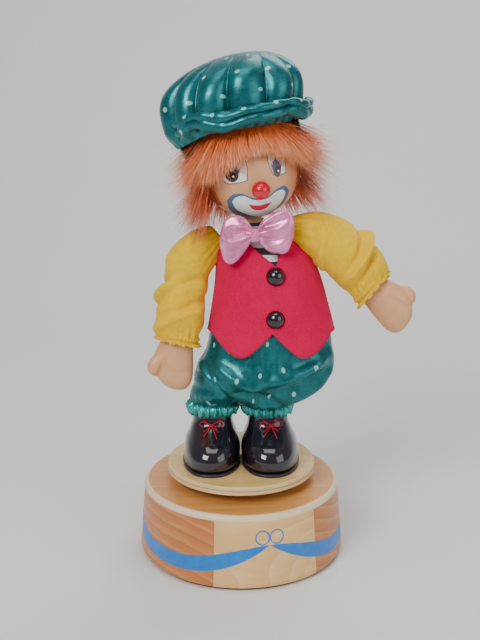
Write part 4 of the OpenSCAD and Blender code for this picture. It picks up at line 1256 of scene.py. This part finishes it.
def sleeve(side, cotton):
    shoulder, cuff, way, length = arm_line(side)
    left = side == "left"
    bow = np.array([3.0, 0, 4.0]) if left else np.array([-2.6, 0, 0.0])
    rows, cols = 84, 128
    t = np.linspace(0.0, 1.0, rows)
    inward = np.array([-8.0, 0, 1.5]) if left else np.array([8.5, 0, 3.0])
    start = shoulder - way * (3.5 if left else 3.0)
    tuck = np.clip(1 - t / 0.22, 0, 1)[:, None] ** 1.6
    path = start + (cuff - start) * t[:, None] + bow * np.sin(math.pi * t)[:, None] + inward * tuck
    marks = [0, 0.05, 0.15, 0.32, 0.52, 0.72, 0.88, 0.96, 1.0]
    wide = ([4.8, 7.6, 10.2, 11.6, 12.4, 12.2, 11.0, 9.5, 8.8] if left
            else [4.8, 7.6, 9.8, 10.2, 10.8, 11.2, 10.8, 9.4, 8.8])
    radii = curve_through(marks, wide, t)
    grid = along_path(path, radii, cols, flat=0.93)
    turn = full_turn(cols)
    out = 0.7 * crumple(grid, 10, 51 + left)
    tt, aa = np.meshgrid(t, turn, indexing="ij")
    # the sleeve bunches where the elbow bends: creases wrap part way round
    folds = ([(0.40, 0.9, 1.9, 0.055), (0.55, 3.6, -2.3, 0.045), (0.66, 3.9, 2.0, 0.05),
              (0.60, 2.6, -1.6, 0.05),
              (0.78, 4.3, -1.8, 0.04), (0.30, 5.3, 1.3, 0.06)] if left
             else [(0.50, 0.2, -2.1, 0.055), (0.60, 0.1, 1.9, 0.05), (0.72, 0.4, -1.8, 0.045),
                   (0.36, 1.0, 1.2, 0.07),
                   (0.46, 5.0, -1.5, 0.06), (0.82, 5.3, 1.2, 0.045), (0.66, 4.4, -1.2, 0.05)])
    for at, face, deep, wide_t in folds:
        off = np.angle(np.exp(1j * (aa - face)))
        line = tt - at - 0.10 * np.sin(off) - 0.03 * off
        out += 1.6 * deep * np.exp(-(line / wide_t) ** 2) * np.exp(-(off / 1.3) ** 2)
    gather = np.clip((tt - 0.80) / 0.20, 0, 1) ** 1.5
    out += gather * (0.55 * np.sin(21 * aa + 1.2 * np.sin(4 * aa)) + 0.22 * np.sin(37 * aa))
    out += np.clip(1 - tt / 0.3, 0, 1) * 0.35 * np.sin(15 * aa + np.sin(3 * aa))
    centre = path[:, None, :]
    away = grid - centre
    away /= np.linalg.norm(away, axis=2)[:, :, None]
    grid = grid + away * out[:, :, None]
    flat = np.stack([aa * radii.max(), tt * length], -1)
    made = grid_piece("sleeve_cloth_" + side, grid, cotton, "arm_" + side, "cotton_yellow", around=True,
                      ends="first last", cloth=flat, replaces=("sleeve_" + side,))
    held = np.zeros(len(made.data.vertices))
    ring = np.arange(rows * cols) // cols
    held[: rows * cols] = np.where((ring < 5) | (ring > rows - 5), 1.0, 0.0)
    held[rows * cols:] = 1
    settle(made, held, 1.1, 1.5)
    rounded(made)
    cuff_ruffle(side, cuff, way, cotton)


def cuff_ruffle(side, cuff, way, cotton):
    """A shirred band and a tiny ruffle past it."""
    cols, rows = 220, 30
    turn = full_turn(cols)
    # the strip's inner part is sewn inside the sleeve's end
    profile = [(-8.0, 7.7), (-5.0, 7.8), (-2.0, 8.6), (-1.2, 9.3), (-0.3, 8.9), (0.2, 8.45), (0.6, 8.7),
               (1.0, 9.3), (1.9, 10.2)]
    along, r = np.array(profile).T
    at = np.linspace(along[0], along[-1], rows)
    radii = curve_through(along, r, at)
    side_way = np.cross([0, 1, 0], way)
    side_way /= np.linalg.norm(side_way)
    other = np.cross(way, side_way)
    ray = np.cos(turn)[:, None] * side_way + 0.93 * np.sin(turn)[:, None] * other
    ripple = 0.34 * np.sin(33 * turn + 1.1 * np.sin(6 * turn)) + 0.18 * np.sin(51 * turn)
    grid, flat = [], []
    for j in range(rows):
        open_up = smoothstep(0.4, 1.9, at[j])
        length = at[j] + 0.35 * np.sin(13 * turn) * open_up
        grid.append(cuff + way * length[:, None] + ray * (radii[j] + ripple * (0.7 + 1.3 * open_up))[:,
                                                                                                     None])
        flat.append(np.stack([turn * 14, np.full(cols, at[j])], 1))
    made = grid_piece("cuff_ruffle_" + side, np.stack(grid), cotton, "arm_" + side, "cotton_yellow",
                      around=True,
                      cloth=np.stack(flat), replaces=("cuff_" + side,))
    thicken(made, 0.3)


def mitten(side, skin):
    """A moulded mitten: a flat palm, a blunt bend of fingers and a folded thumb with its crease."""
    _, cuff, way, _ = arm_line(side)
    up = np.array([0.0, 0, 1]) if side == "left" else np.array([-1.0, 0, 0])
    across = up - way * (up @ way)
    across /= np.linalg.norm(across)
    thick = np.cross(way, across)

    def tube(marks, cols=40):
        """Ovals from (along, across, through, half width, half thickness)."""
        turn = full_turn(cols)
        marks = np.array(marks, float)
        fine = np.linspace(0, 1, 26)
        at = np.linspace(0, 1, len(marks))
        v = [curve_through(at, marks[:, k], fine) for k in range(5)]
        return np.stack([
            cuff + way * v[0][j] + across * v[1][j] + thick * v[2][j]
            + (v[3][j] * np.cos(turn))[:, None] * across + (v[4][j] * np.sin(turn))[:, None] * thick
            for j in range(26)
        ])

    palm = tube([(-2, 0, 0, 6.4, 5.6), (2, 0, 0, 7.3, 6.0), (7, 0.2, 0, 8.6, 6.1), (12, -0.3, 0, 9.2, 5.9),
                 (16.5, -1.2, 0, 8.9, 5.5), (20, -2.2, 0, 7.4, 4.9), (22.6, -3.0, 0, 4.8, 3.6),
                 (23.4, -3.2, 0, 1.4, 1.2)])
    thumb = tube([(9, 5.6, -1.5, 3.4, 3.2), (12, 7.0, -2.2, 3.6, 3.3), (15, 7.7, -2.4, 3.5, 3.2),
                  (17.6, 7.4, -2.2, 2.8, 2.7), (19.2, 7.0, -2.0, 0.9, 0.9)])
    made = merged("mitten_" + side, [palm, thumb], skin, "arm_" + side, "vinyl_skin", 0.55,
                  replaces=("hand_" + side,), smooth_steps=8)
    points, normals = points_of(made), normals_of(made)
    along = (points - cuff) @ way
    wide = (points - cuff) @ across
    # the crease where the thumb lies along the palm, and the bend of the fingers
    crease = np.exp(-((wide - (3.6 + 0.20 * (along - 9))) / 0.75) ** 2) * smoothstep(8, 11,
            along) * (1 - smoothstep(18, 20, along))
    bend = np.exp(-((along - 15.2 - 0.15 * wide) / 1.5) ** 2) * smoothstep(3, -3, wide)
    facing = np.abs(normals @ thick)
    move_points(made, points - normals * ((1.3 * crease + 0.5 * bend) * facing)[:, None])
    modifier(made, "SMOOTH", factor=0.5, iterations=3)
    apply_modifiers(made)


# ---------- head ----------


def head_frame():
    """Turns the head's own places into the frame, by its lean and its look to the side."""
    lean = Matrix.Rotation(-sizes().head_tilt, 3, "Y") @ Matrix.Rotation(sizes().head_turn, 3, "Z")
    return np.array(lean)


def on_head(points):
    return HEAD + np.asarray(points, float) @ head_frame().T


class CLOWN_OT_head(bpy.types.Operator):
    """Build the vinyl head with its painted face and ball nose"""

    bl_idname = "clown.head"
    bl_label = "Head and face"

    def execute(self, context):
        skin = vinyl("head_vinyl", tuple(colours().skin))
        rise = np.linspace(-math.pi / 2, math.pi / 2, 74)[1:-1]
        turn = full_turn(128)
        rr, tt = np.meshgrid(rise, turn, indexing="ij")
        d = np.stack([np.cos(rr) * np.cos(tt), np.cos(rr) * np.sin(tt), np.sin(rr)], -1)
        r = np.full(rr.shape, HEAD_R)
        face = np.clip(-d[..., 1], 0, 1)
        r += 0.7 * np.exp(-((d[...,
                2] + 0.33) / 0.22) ** 2) * np.exp(-((np.abs(d[..., 0]) - 0.52) / 0.25) ** 2) * face
        r -= 0.9 * smoothstep(-0.55, -0.95, d[..., 2]) * (1 - face)
        r += 0.5 * np.exp(-((d[..., 2] + 0.78) / 0.16) ** 2) * np.exp(-(d[..., 0] / 0.3) ** 2) * face
        r -= 0.35 * np.exp(-((d[...,
                2] - 0.12) / 0.16) ** 2) * np.exp(-((np.abs(d[..., 0]) - 0.45) / 0.22) ** 2) * face
        made = grid_piece("head_shell", on_head(d * r[..., None]), skin,
                          "head", "vinyl_skin", around=True, ends="first last", replaces=("head",))
        paint_face(made)
        at = on_head([[-1.2, -math.sqrt(HEAD_R**2 - 1.2**2 - 5.4**2) - 2.2, -5.4]])[0]
        grid = ball(at, (4.0, 4.0, 4.0), 22, 44)
        grid_piece("nose_ball", grid, gloss("nose_red", (0.55, 0.0, 0.012), 0.12), "head", "nose_red",
                   around=True,
                   ends="first last", replaces=("nose",))
        return {"FINISHED"}


def patch(name, head, low_edge, high_edge, finish, lift, steps=60, rows=14):
    """Paint on the face between a lower and an upper edge, each a list of places across and up."""
    tree = BVHTree.FromObject(head, bpy.context.evaluated_depsgraph_get())
    turn = head_frame()
    way = Vector(turn @ np.array([0, 1, 0]))
    edges = []
    for edge in (low_edge, high_edge):
        edge = np.array(edge, float)
        at = np.concatenate([[0], np.cumsum(np.linalg.norm(np.diff(edge, axis=0), axis=1))])
        fine = np.linspace(0, at[-1], steps)
        edges.append(np.stack([curve_through(at, edge[:, 0], fine), curve_through(at, edge[:, 1], fine)], 1))
    grid = np.zeros((rows, steps, 3))
    for j, t in enumerate(np.linspace(0, 1, rows)):
        flat = edges[0] * (1 - t) + edges[1] * t
        for i, (x, z) in enumerate(flat):
            start = HEAD + turn @ np.array([x, -60, z])
            hit, normal, _, _ = tree.ray_cast(Vector(start * MM), way)
            if hit is None:
                hit, normal, _, _ = tree.find_nearest(Vector((HEAD + turn @ np.array([x, -6, z])) * MM))
            grid[j, i] = np.array(hit) / MM + np.array(normal) * lift
    grid_piece(name, grid, finish, "head", None)


def ellipse_edges(x, z, rx, rz, lean=0.0):
    a = np.linspace(math.pi, 0, 13)
    up = np.stack([x + rx * np.cos(a) + lean * np.sin(a) * rz, z + rz * np.sin(a)], 1)
    down = np.stack([x + rx * np.cos(a) - lean * np.sin(a) * rz, z - rz * np.sin(a)], 1)
    return down, up


def paint_face(head):
    white = paint("face_white", (0.80, 0.84, 0.84), 0.3)
    blue = paint("face_blue", (0.035, 0.12, 0.26), 0.3)
    red = paint("face_red", (0.62, 0.008, 0.03), 0.3)
    dark = paint("eye_dark", (0.022, 0.010, 0.008), 0.25)
    brown = paint("eye_brown", (0.10, 0.035, 0.02), 0.3)
    lid = paint("eye_lid", (0.74, 0.47, 0.36), 0.4)
    violet = paint("lash_violet", (0.09, 0.075, 0.16), 0.35)
    patch("mouth_outline", head,
          [(-14.6, -8.4), (-13.4, -13.0), (-8.4, -16.6), (-0.8, -18.7), (6.7, -15.7), (11.0, -12.2),
           (12.4, -8.6)],
          [(-14.6, -8.4), (-12.8, -6.0), (-9.4, -5.6), (-4.2, -8.4), (1.6, -8.9), (7.0, -6.1),
           (10.2, -5.8), (12.4, -8.6)],
          blue, 0.05, 90)
    patch("mouth_white", head,
          [(-12.7, -8.9), (-11.2, -12.4), (-7.1, -15.5), (-0.4, -18.1), (6.1, -15.1), (9.2, -11.8),
           (10.3, -8.9)],
          [(-12.7, -8.9), (-11.4, -7.2), (-9.0, -6.7), (-4.0, -9.3), (1.5, -9.7), (6.6, -7.2),
           (9.0, -7.2), (10.3, -8.9)],
          white, 0.12, 90)
    patch("mouth_smile", head,
          [(-6.3, -10.9), (-4.6, -13.4), (-1.4, -14.5), (1.6, -13.6), (3.7, -11.5)],
          [(-6.3, -10.9), (-4.0, -11.7), (-1.5, -12.1), (1.2, -11.9), (3.7, -11.5)], red, 0.2, 50)
    for name, x0, x1, foot, top, iris in (("a", -15.9, -5.3, -0.5, 13.8, (-11.4, 2.7)),
                                          ("b", 4.2, 12.0, -0.3, 12.2, (7.4, 1.9))):
        mid, half = (x0 + x1) / 2, (x1 - x0) / 2
        tall = top - foot
        for kind, grow, finish, lift in (("rim", 0.22, dark, 0.04), ("lid", 0.0, lid, 0.10)):
            left, right = x0 - grow, x1 + grow
            patch("eye_%s_%s" % (kind, name), head,
                  [(left + 0.9, foot + 1.2 - grow), (left + 1.9, foot - grow), (mid, foot - 0.5 - grow),
                   (right - 0.5, foot - grow)],
                  [(left + 0.9, foot + 1.2), (left, foot + tall * 0.55), (mid - half * 0.45, top + grow),
                   (mid + half * 0.45, top + grow), (right, foot + tall * 0.55), (right - 0.5, foot - grow)],
                  finish, lift, 44)
        patch("eye_white_" + name, head,
              [(x0 + 1.4, foot + 0.9), (x0 + 2.2, foot + 0.15), (mid, foot - 0.3), (x1 - 0.8, foot + 0.1)],
              [(x0 + 1.4, foot + 0.9), (x0 + 1.3, foot + 2.4), (mid, foot + 3.6), (x1 - 1.0, foot + 2.2),
               (x1 - 0.8, foot + 0.1)],
              white, 0.16, 36)
        patch("eye_iris_" + name, head, *ellipse_edges(iris[0], iris[1] + 0.3, half * 0.50, 3.5), brown,
              0.22, 32)
        patch("eye_pupil_" + name, head, *ellipse_edges(iris[0], iris[1], half * 0.27, 2.0), dark, 0.28, 26)
        patch("eye_light_" + name, head, *ellipse_edges(iris[0] + 0.45, iris[1] - 0.9, 0.42, 0.45), white,
              0.36, 16)
        for k in range(7):
            s = (k - 3) / 3
            foot_x, top_x = iris[0] + s * half * 0.44, iris[0] + s * half * 0.66 + 0.25
            z0, z1 = iris[1] + 1.4 - abs(s) * 1.4, iris[1] + 5.6 - abs(s) * 2.7
            wide = 0.30
            patch("lash_%s_%d" % (name, k), head,
                  [(foot_x - wide, z0), ((foot_x + top_x) / 2 - wide * 0.8, (z0 + z1) / 2), (top_x, z1)],
                  [(foot_x + wide, z0), ((foot_x + top_x) / 2 + wide * 0.8, (z0 + z1) / 2),
                   (top_x + 0.03, z1)],
                  violet, 0.3, 14, 3)


# ---------- wig ----------


class CLOWN_OT_wig(bpy.types.Operator):
    """Grow the fur wig from its backing"""

    bl_idname = "clown.wig"
    bl_label = "Wig"

    def execute(self, context):
        fur = fur_finish("wig_fur", tuple(colours().fur))
        # the backing felt is darker than the fur, near the colour of the strands' roots: painted shade
        # between the strands
        backing = felt("wig_backing", (0.42, 0.085, 0.03))
        turn = full_turn(96)
        rows = []
        for z, r in ((-11, 17.5), (-8, 20.0), (-3, 21.4), (3, 22.0), (9, 21.4), (15, 18.2), (20, 12.0),
                     (22, 5)):
            rows.append(np.stack([r * np.cos(turn), 1.5 + (r - 0.4) * np.sin(turn), np.full(96, z)], 1))
        grid = np.stack(rows)
        front = np.sin(turn) < -0.45
        for j in range(5):
            grid[j, front] = grid[5, front] * 0.96 + np.array([0, 0, 0.2 * j])
        grid = on_head(grid)
        grid_piece("wig_backing", grid, backing, "head", "fur_orange", around=True, ends="last",
                   replaces=("wig",))
        strands(fur)
        return {"FINISHED"}


def strands(fur):
    """Thin tapering ribbons in loose clumps, combed down and outward, that leave the face free."""
    draw = np.random.default_rng(7)
    amount = 12500
    wide, long = sizes().strand_w, sizes().strand
    points, faces, flat = [], [], []
    clumps = []
    while len(clumps) < 760:
        a, z = draw.uniform(0, 2 * math.pi), draw.uniform(-9.0, 21)
        clumps.append((a, z, draw.normal(size=3)))
    steps = 6
    over_face = 0.42
    for _ in range(amount):
        a, z, sway = clumps[draw.integers(len(clumps))]
        a, z = a + draw.normal() * 0.045, z + draw.normal() * 0.8
        ahead = -math.sin(a)
        # roots that would stand on the face move up to the hairline
        if ahead > over_face:
            z = draw.uniform(13.0, 21.5)
        r = 21.2 - 0.011 * max(0, z - 4) ** 2
        if ahead <= over_face and z < 0:
            r += 0.9
        root = np.array([r * math.cos(a), 1.2 + r * math.sin(a), z])
        out = np.array([math.cos(a), math.sin(a), 0.0])
        length = long * draw.uniform(0.72, 1.12)
        if ahead > over_face:
            side = math.cos(a)
            # over the face the fringe ends at the brow, longer at the temples
            length = min(length, (z - 9.6 + 17.0 * abs(side) ** 1.9) * draw.uniform(0.85, 1.25))
            way = out * 0.62 + np.array([0.26 * side, 0, -1.0])
        elif z > 6:
            way = out * 0.98 + np.array([0, 0, -0.66])
        else:
            way = out * 0.72 + np.array([0, -0.16, -0.92])
        wild = draw.uniform() < 0.06
        way = way + (sway * 0.20 + draw.normal(size=3) * (0.36 if wild else 0.12))
        way /= np.linalg.norm(way)
        drop = -0.5 if ahead > over_face else (-0.12 if wild else -0.42)
        length *= 1.15 if wild and ahead < over_face else 1.0
        side_way = np.cross(way, out)
        side_way /= max(np.linalg.norm(side_way), 1e-6)
        start = len(points)
        # shade_and_tone: a random tone for each strand, plus painted shade that darkens the strands on the
        # head's -X side
        shade_and_tone = float(np.clip(0.5 * math.cos(a) * -1 + draw.normal() * 0.25, 0,
                             1)) if ahead > -0.3 else draw.uniform(0, 0.3)
        at, move = root.copy(), way.copy()
        for k in range(steps):
            t = k / (steps - 1)
            half = wide * 0.5 * (1 - 0.86 * t**1.4) * (0.6 if wild else 1.0)
            points.extend([at - side_way * half, at + side_way * half])
            flat.extend([(t, shade_and_tone, 0)] * 2)
            move = move + np.array([0, 0, drop]) / steps
            move /= np.linalg.norm(move)
            at = at + move * length / (steps - 1)
            away = np.linalg.norm(at)
            if away < HEAD_R + 0.7:
                at = at * (HEAD_R + 0.7) / away
        for k in range(steps - 1):
            b = start + 2 * k
            faces.append((b, b + 1, b + 3, b + 2))
    points = on_head(points)
    piece("wig_strands", points, faces, fur, "head", "fur_orange", cloth=np.array(flat))


# ---------- cap ----------


def cap_frame():
    turn = Matrix.Rotation(math.radians(-9.5), 3, "Y") @ Matrix.Rotation(math.radians(-5), 3, "X")
    return HEAD + np.array([-3.8, 3.0, HEAD_R + 3.6]), np.array(turn)


def on_cap(points):
    at, turn = cap_frame()
    return at + np.asarray(points, float) @ turn.T


class CLOWN_OT_cap(bpy.types.Operator):
    """Build the pleated satin cap, its rolled brim and the band at its back"""

    bl_idname = "clown.cap"
    bl_label = "Cap"

    def execute(self, context):
        cloth = satin("cap_satin", tuple(colours().satin), dots=True)
        crown(cloth)
        brim(cloth)
        back_band()
        return {"FINISHED"}


def crown(cloth):
    cols, rows = 260, 60
    turn = full_turn(cols)
    marks = [0, 0.10, 0.24, 0.42, 0.60, 0.76, 0.90, 1.0]
    z_at = [-5, -1, 5, 12, 18.5, 23.4, 26.4, 27.4]
    shift = [-4.6, -4.4, -4.0, -3.2, -1.6, 0.6, 2.6, 4.0]
    wide = [26.0, 29.0, 30.6, 30.4, 26.8, 20.2, 11.0, 2.4]
    deep = [25.5, 28.2, 29.8, 29.2, 25.8, 19.4, 10.8, 2.4]
    t = np.linspace(0, 1, rows)
    z, sx, rx, ry = (curve_through(marks, v, t) for v in (z_at, shift, wide, deep))
    grid, flat = np.zeros((rows, cols, 3)), np.zeros((rows, cols, 2))
    count = 12
    slip = 0.35 * np.sin(3 * turn + 0.6)
    phase = (count * turn / 2 + slip) % math.pi
    for j in range(rows):
        # each pleat is a round puff between two narrow creases that fade towards the top
        puff = np.sin(phase) ** 0.42
        strong = smoothstep(0.02, 0.14, t[j]) * (1 - smoothstep(0.36, 0.92, t[j]))
        swell = 6.0 * strong * (puff - 0.76)
        hem = (1 - smoothstep(0.0, 0.16, t[j])) * 0.5 * np.sin(34 * turn)
        wander = 0.5 * np.sin(2.1 * turn + 6 * t[j]) + 0.35 * np.sin(5.3 * turn - 9 * t[j])
        grow = swell + hem + wander * (0.3 + 0.7 * math.sin(math.pi * t[j]))
        hang = 3.6 * smoothstep(0.35, 1.0, -np.cos(turn)) * (1 - smoothstep(0.1, 0.5, t[j]))
        grid[j] = np.stack([sx[j] + (rx[j] + grow) * np.cos(turn), 3 + (ry[j] + grow) * np.sin(turn),
                            z[j] + 0.25 * swell - hang], 1)
        flat[j] = np.stack([turn * 25, np.full(cols, 56.0 * t[j])], 1)
    made = grid_piece("cap_cloth", on_cap(grid), cloth, "head", "satin_teal",
                      around=True, ends="last", cloth=flat, replaces=("cap_crown",))
    rounded(made)


def brim(cloth):
    """Two soft rolls of satin, one above the other, that wave across the front."""
    steps = 190
    a = np.linspace(math.radians(-208), math.radians(28), steps)
    end = np.sin(np.linspace(0, math.pi, steps)) ** 0.35
    wave = 0.9 * np.sin(5.0 * a + 0.7) + 0.6 * np.sin(8.6 * a + 2.0)
    for k, (r, z, thick, flatness) in enumerate(((30.0, 1.7, 2.5, 0.85), (29.2, -1.7, 2.7, 0.9))):
        path = np.stack([-0.5 + r * np.cos(a), -1 + r * 0.92 * np.sin(a), z + wave * (1 if k else 0.7)], 1)
        radii = thick * end * (1 + 0.10 * np.sin(9 * a + k) + 0.05 * np.sin(17 * a))
        tube = along_path(path, np.maximum(radii, 0.4), 36, flat=flatness, up=(0, 0, 1))
        turn = full_turn(36)
        centre = path[:, None, :]
        away = tube - centre
        away /= np.maximum(np.linalg.norm(away, axis=2), 1e-6)[:, :, None]
        fold = 0.3 * np.sin(2 * turn[None, :] + 4 * a[:, None]) + 0.22 * np.sin(23 * a)[:, None]
        tube = tube + away * fold[:, :, None]
        flat = np.stack(np.broadcast_arrays((a * 30)[:, None], (turn * 2.6 + k * 17)[None, :]), -1)
        made = grid_piece("cap_brim_roll_%d" % (k + 1), on_cap(tube), cloth, "head",
                          "satin_teal", around=True, ends="first last", cloth=flat,
                          replaces=("cap_brim",) if k == 0 else ())
        rounded(made)


def back_band():
    """The band under the cap that runs behind the head from ear to ear, in satin darker than the cap's:
    painted shade behind the hair and under the cap.
    """
    # darker satin without dots: painted shade behind the hair and under the cap
    dark = satin("band_satin", (0.0, 0.085, 0.075))
    cols, rows = 150, 26
    turn = np.linspace(math.radians(-16), math.radians(196), cols)
    grid, flat = np.zeros((rows, cols, 3)), np.zeros((rows, cols, 2))
    for j, t in enumerate(np.linspace(0, 1, rows)):
        r = 27.5 - 2.6 * t + 0.5 * np.sin(21 * turn) * (0.3 + 0.7 * t) + 0.4 * math.sin(math.pi * t)
        drop = -4.0 - 17.0 * t * (0.62 + 0.38 * np.sin(np.clip((turn - turn[0]) / (turn[-1] - turn[0]), 0,
                                                               1) * math.pi))
        grid[j] = np.stack([-3.6 + 2.2 * t + r * np.cos(turn), 2.4 + r * 0.96 * np.sin(turn), drop], 1)
        flat[j] = np.stack([turn * 27, np.full(cols, 19.0 * t)], 1)
    made = grid_piece("cap_back_band", on_cap(grid), dark, "head", "satin_teal",
                      cloth=flat)
    thicken(made, 0.4)


# ---------- stage ----------


class CLOWN_OT_stage(bpy.types.Operator):
    """Lay a plain floor, soft lamps and a camera at the object's front"""

    bl_idname = "clown.stage"
    bl_label = "Floor, lamps and camera"

    def execute(self, context):
        scene = context.scene
        f = Finish("stage_paper", (0.74, 0.735, 0.72), 0.9)
        f.vary(f.noise(f.place(), 3.0, 2.0), (0.74, 0.735, 0.72), 0.99, 1.01)
        side, far, high, bend = 2.0, 0.7, 1.6, 0.35
        rows = [(-2.0, 0.0), (far - bend, 0.0)]
        rows += [(far - bend + bend * math.sin(b),
                  bend - bend * math.cos(b)) for b in np.linspace(0.15, math.pi / 2, 12)]
        rows.append((far, high))
        points = [(x * 1000, y * 1000, z * 1000) for y, z in rows for x in (-side, side)]
        faces = [(2 * k, 2 * k + 1, 2 * k + 3, 2 * k + 2) for k in range(len(rows) - 1)]
        mesh = bpy.data.meshes.new("stage_floor")
        mesh.from_pydata([tuple(np.array(p) * MM) for p in points], [], faces)
        mesh.polygons.foreach_set("use_smooth", [True] * len(mesh.polygons))
        floor = bpy.data.objects.new("stage_floor", mesh)
        mesh.materials.append(f.mat)
        scene.collection.objects.link(floor)
        aim = Vector((0, 0, 0.115))
        for name, place, size, watts in (
            ("lamp_key", (-0.45, -0.75, 0.75), 0.45, 8.5), ("lamp_fill", (0.75, -0.6, 0.45), 0.7, 3.2),
            ("lamp_back", (0.25, 0.55, 0.8), 0.5, 3.2), ("lamp_top", (0.0, -0.15, 1.0), 0.5, 2.4),
        ):
            lamp = bpy.data.lights.new(name, "AREA")
            lamp.size, lamp.energy = size, watts
            held = bpy.data.objects.new(name, lamp)
            held.location = place
            held.rotation_euler = (aim - Vector(place)).to_track_quat("-Z", "Y").to_euler()
            scene.collection.objects.link(held)
        world = bpy.data.worlds.new("stage_world")
        world.use_nodes = True
        world.node_tree.nodes["Background"].inputs[0].default_value = (0.9, 0.93, 1.0, 1)
        world.node_tree.nodes["Background"].inputs[1].default_value = 0.30
        scene.world = world
        camera = bpy.data.cameras.new("camera")
        camera.lens, camera.sensor_width, camera.sensor_fit = 56.25, 36, "AUTO"
        seen = bpy.data.objects.new("camera", camera)
        target = Vector((-0.00058, 0, 0.1109))
        lift = math.radians(14.72)
        seen.location = target + Vector((0, -math.cos(lift), math.sin(lift))) * 0.4565
        seen.rotation_euler = (target - seen.location).to_track_quat("-Z", "Y").to_euler()
        scene.collection.objects.link(seen)
        scene.camera = seen
        return {"FINISHED"}


# ---------- add-on ----------

PIECES = (CLOWN_OT_drum, CLOWN_OT_works, CLOWN_OT_shoes, CLOWN_OT_trousers, CLOWN_OT_body, CLOWN_OT_arms,
          CLOWN_OT_head, CLOWN_OT_wig, CLOWN_OT_cap, CLOWN_OT_stage)


class CLOWN_PT_panel(bpy.types.Panel):
    """Lists the colours, sizes and steps of the clown"""

    bl_idname = "CLOWN_PT_panel"
    bl_label = "Musical clown"
    bl_space_type = "VIEW_3D"
    bl_region_type = "UI"
    bl_category = "Clown"

    def draw(self, context):
        for held in (context.scene.clown_colours, context.scene.clown_sizes):
            column = self.layout.column(align=True)
            for key in held.__annotations__:
                column.prop(held, key)
        for step in PIECES:
            self.layout.operator(step.bl_idname)


CLASSES = (ClownColours, ClownSizes, *PIECES, CLOWN_PT_panel)


def register():
    for kind in CLASSES:
        bpy.utils.register_class(kind)
    bpy.types.Scene.clown_colours = bpy.props.PointerProperty(type=ClownColours)
    bpy.types.Scene.clown_sizes = bpy.props.PointerProperty(type=ClownSizes)


def unregister():
    del bpy.types.Scene.clown_sizes
    del bpy.types.Scene.clown_colours
    for kind in reversed(CLASSES):
        bpy.utils.unregister_class(kind)


def main():
    register()
    for step in PIECES:
        group, name = step.bl_idname.split(".")
        getattr(getattr(bpy.ops, group), name)()


if __name__ == "__main__":
    main()
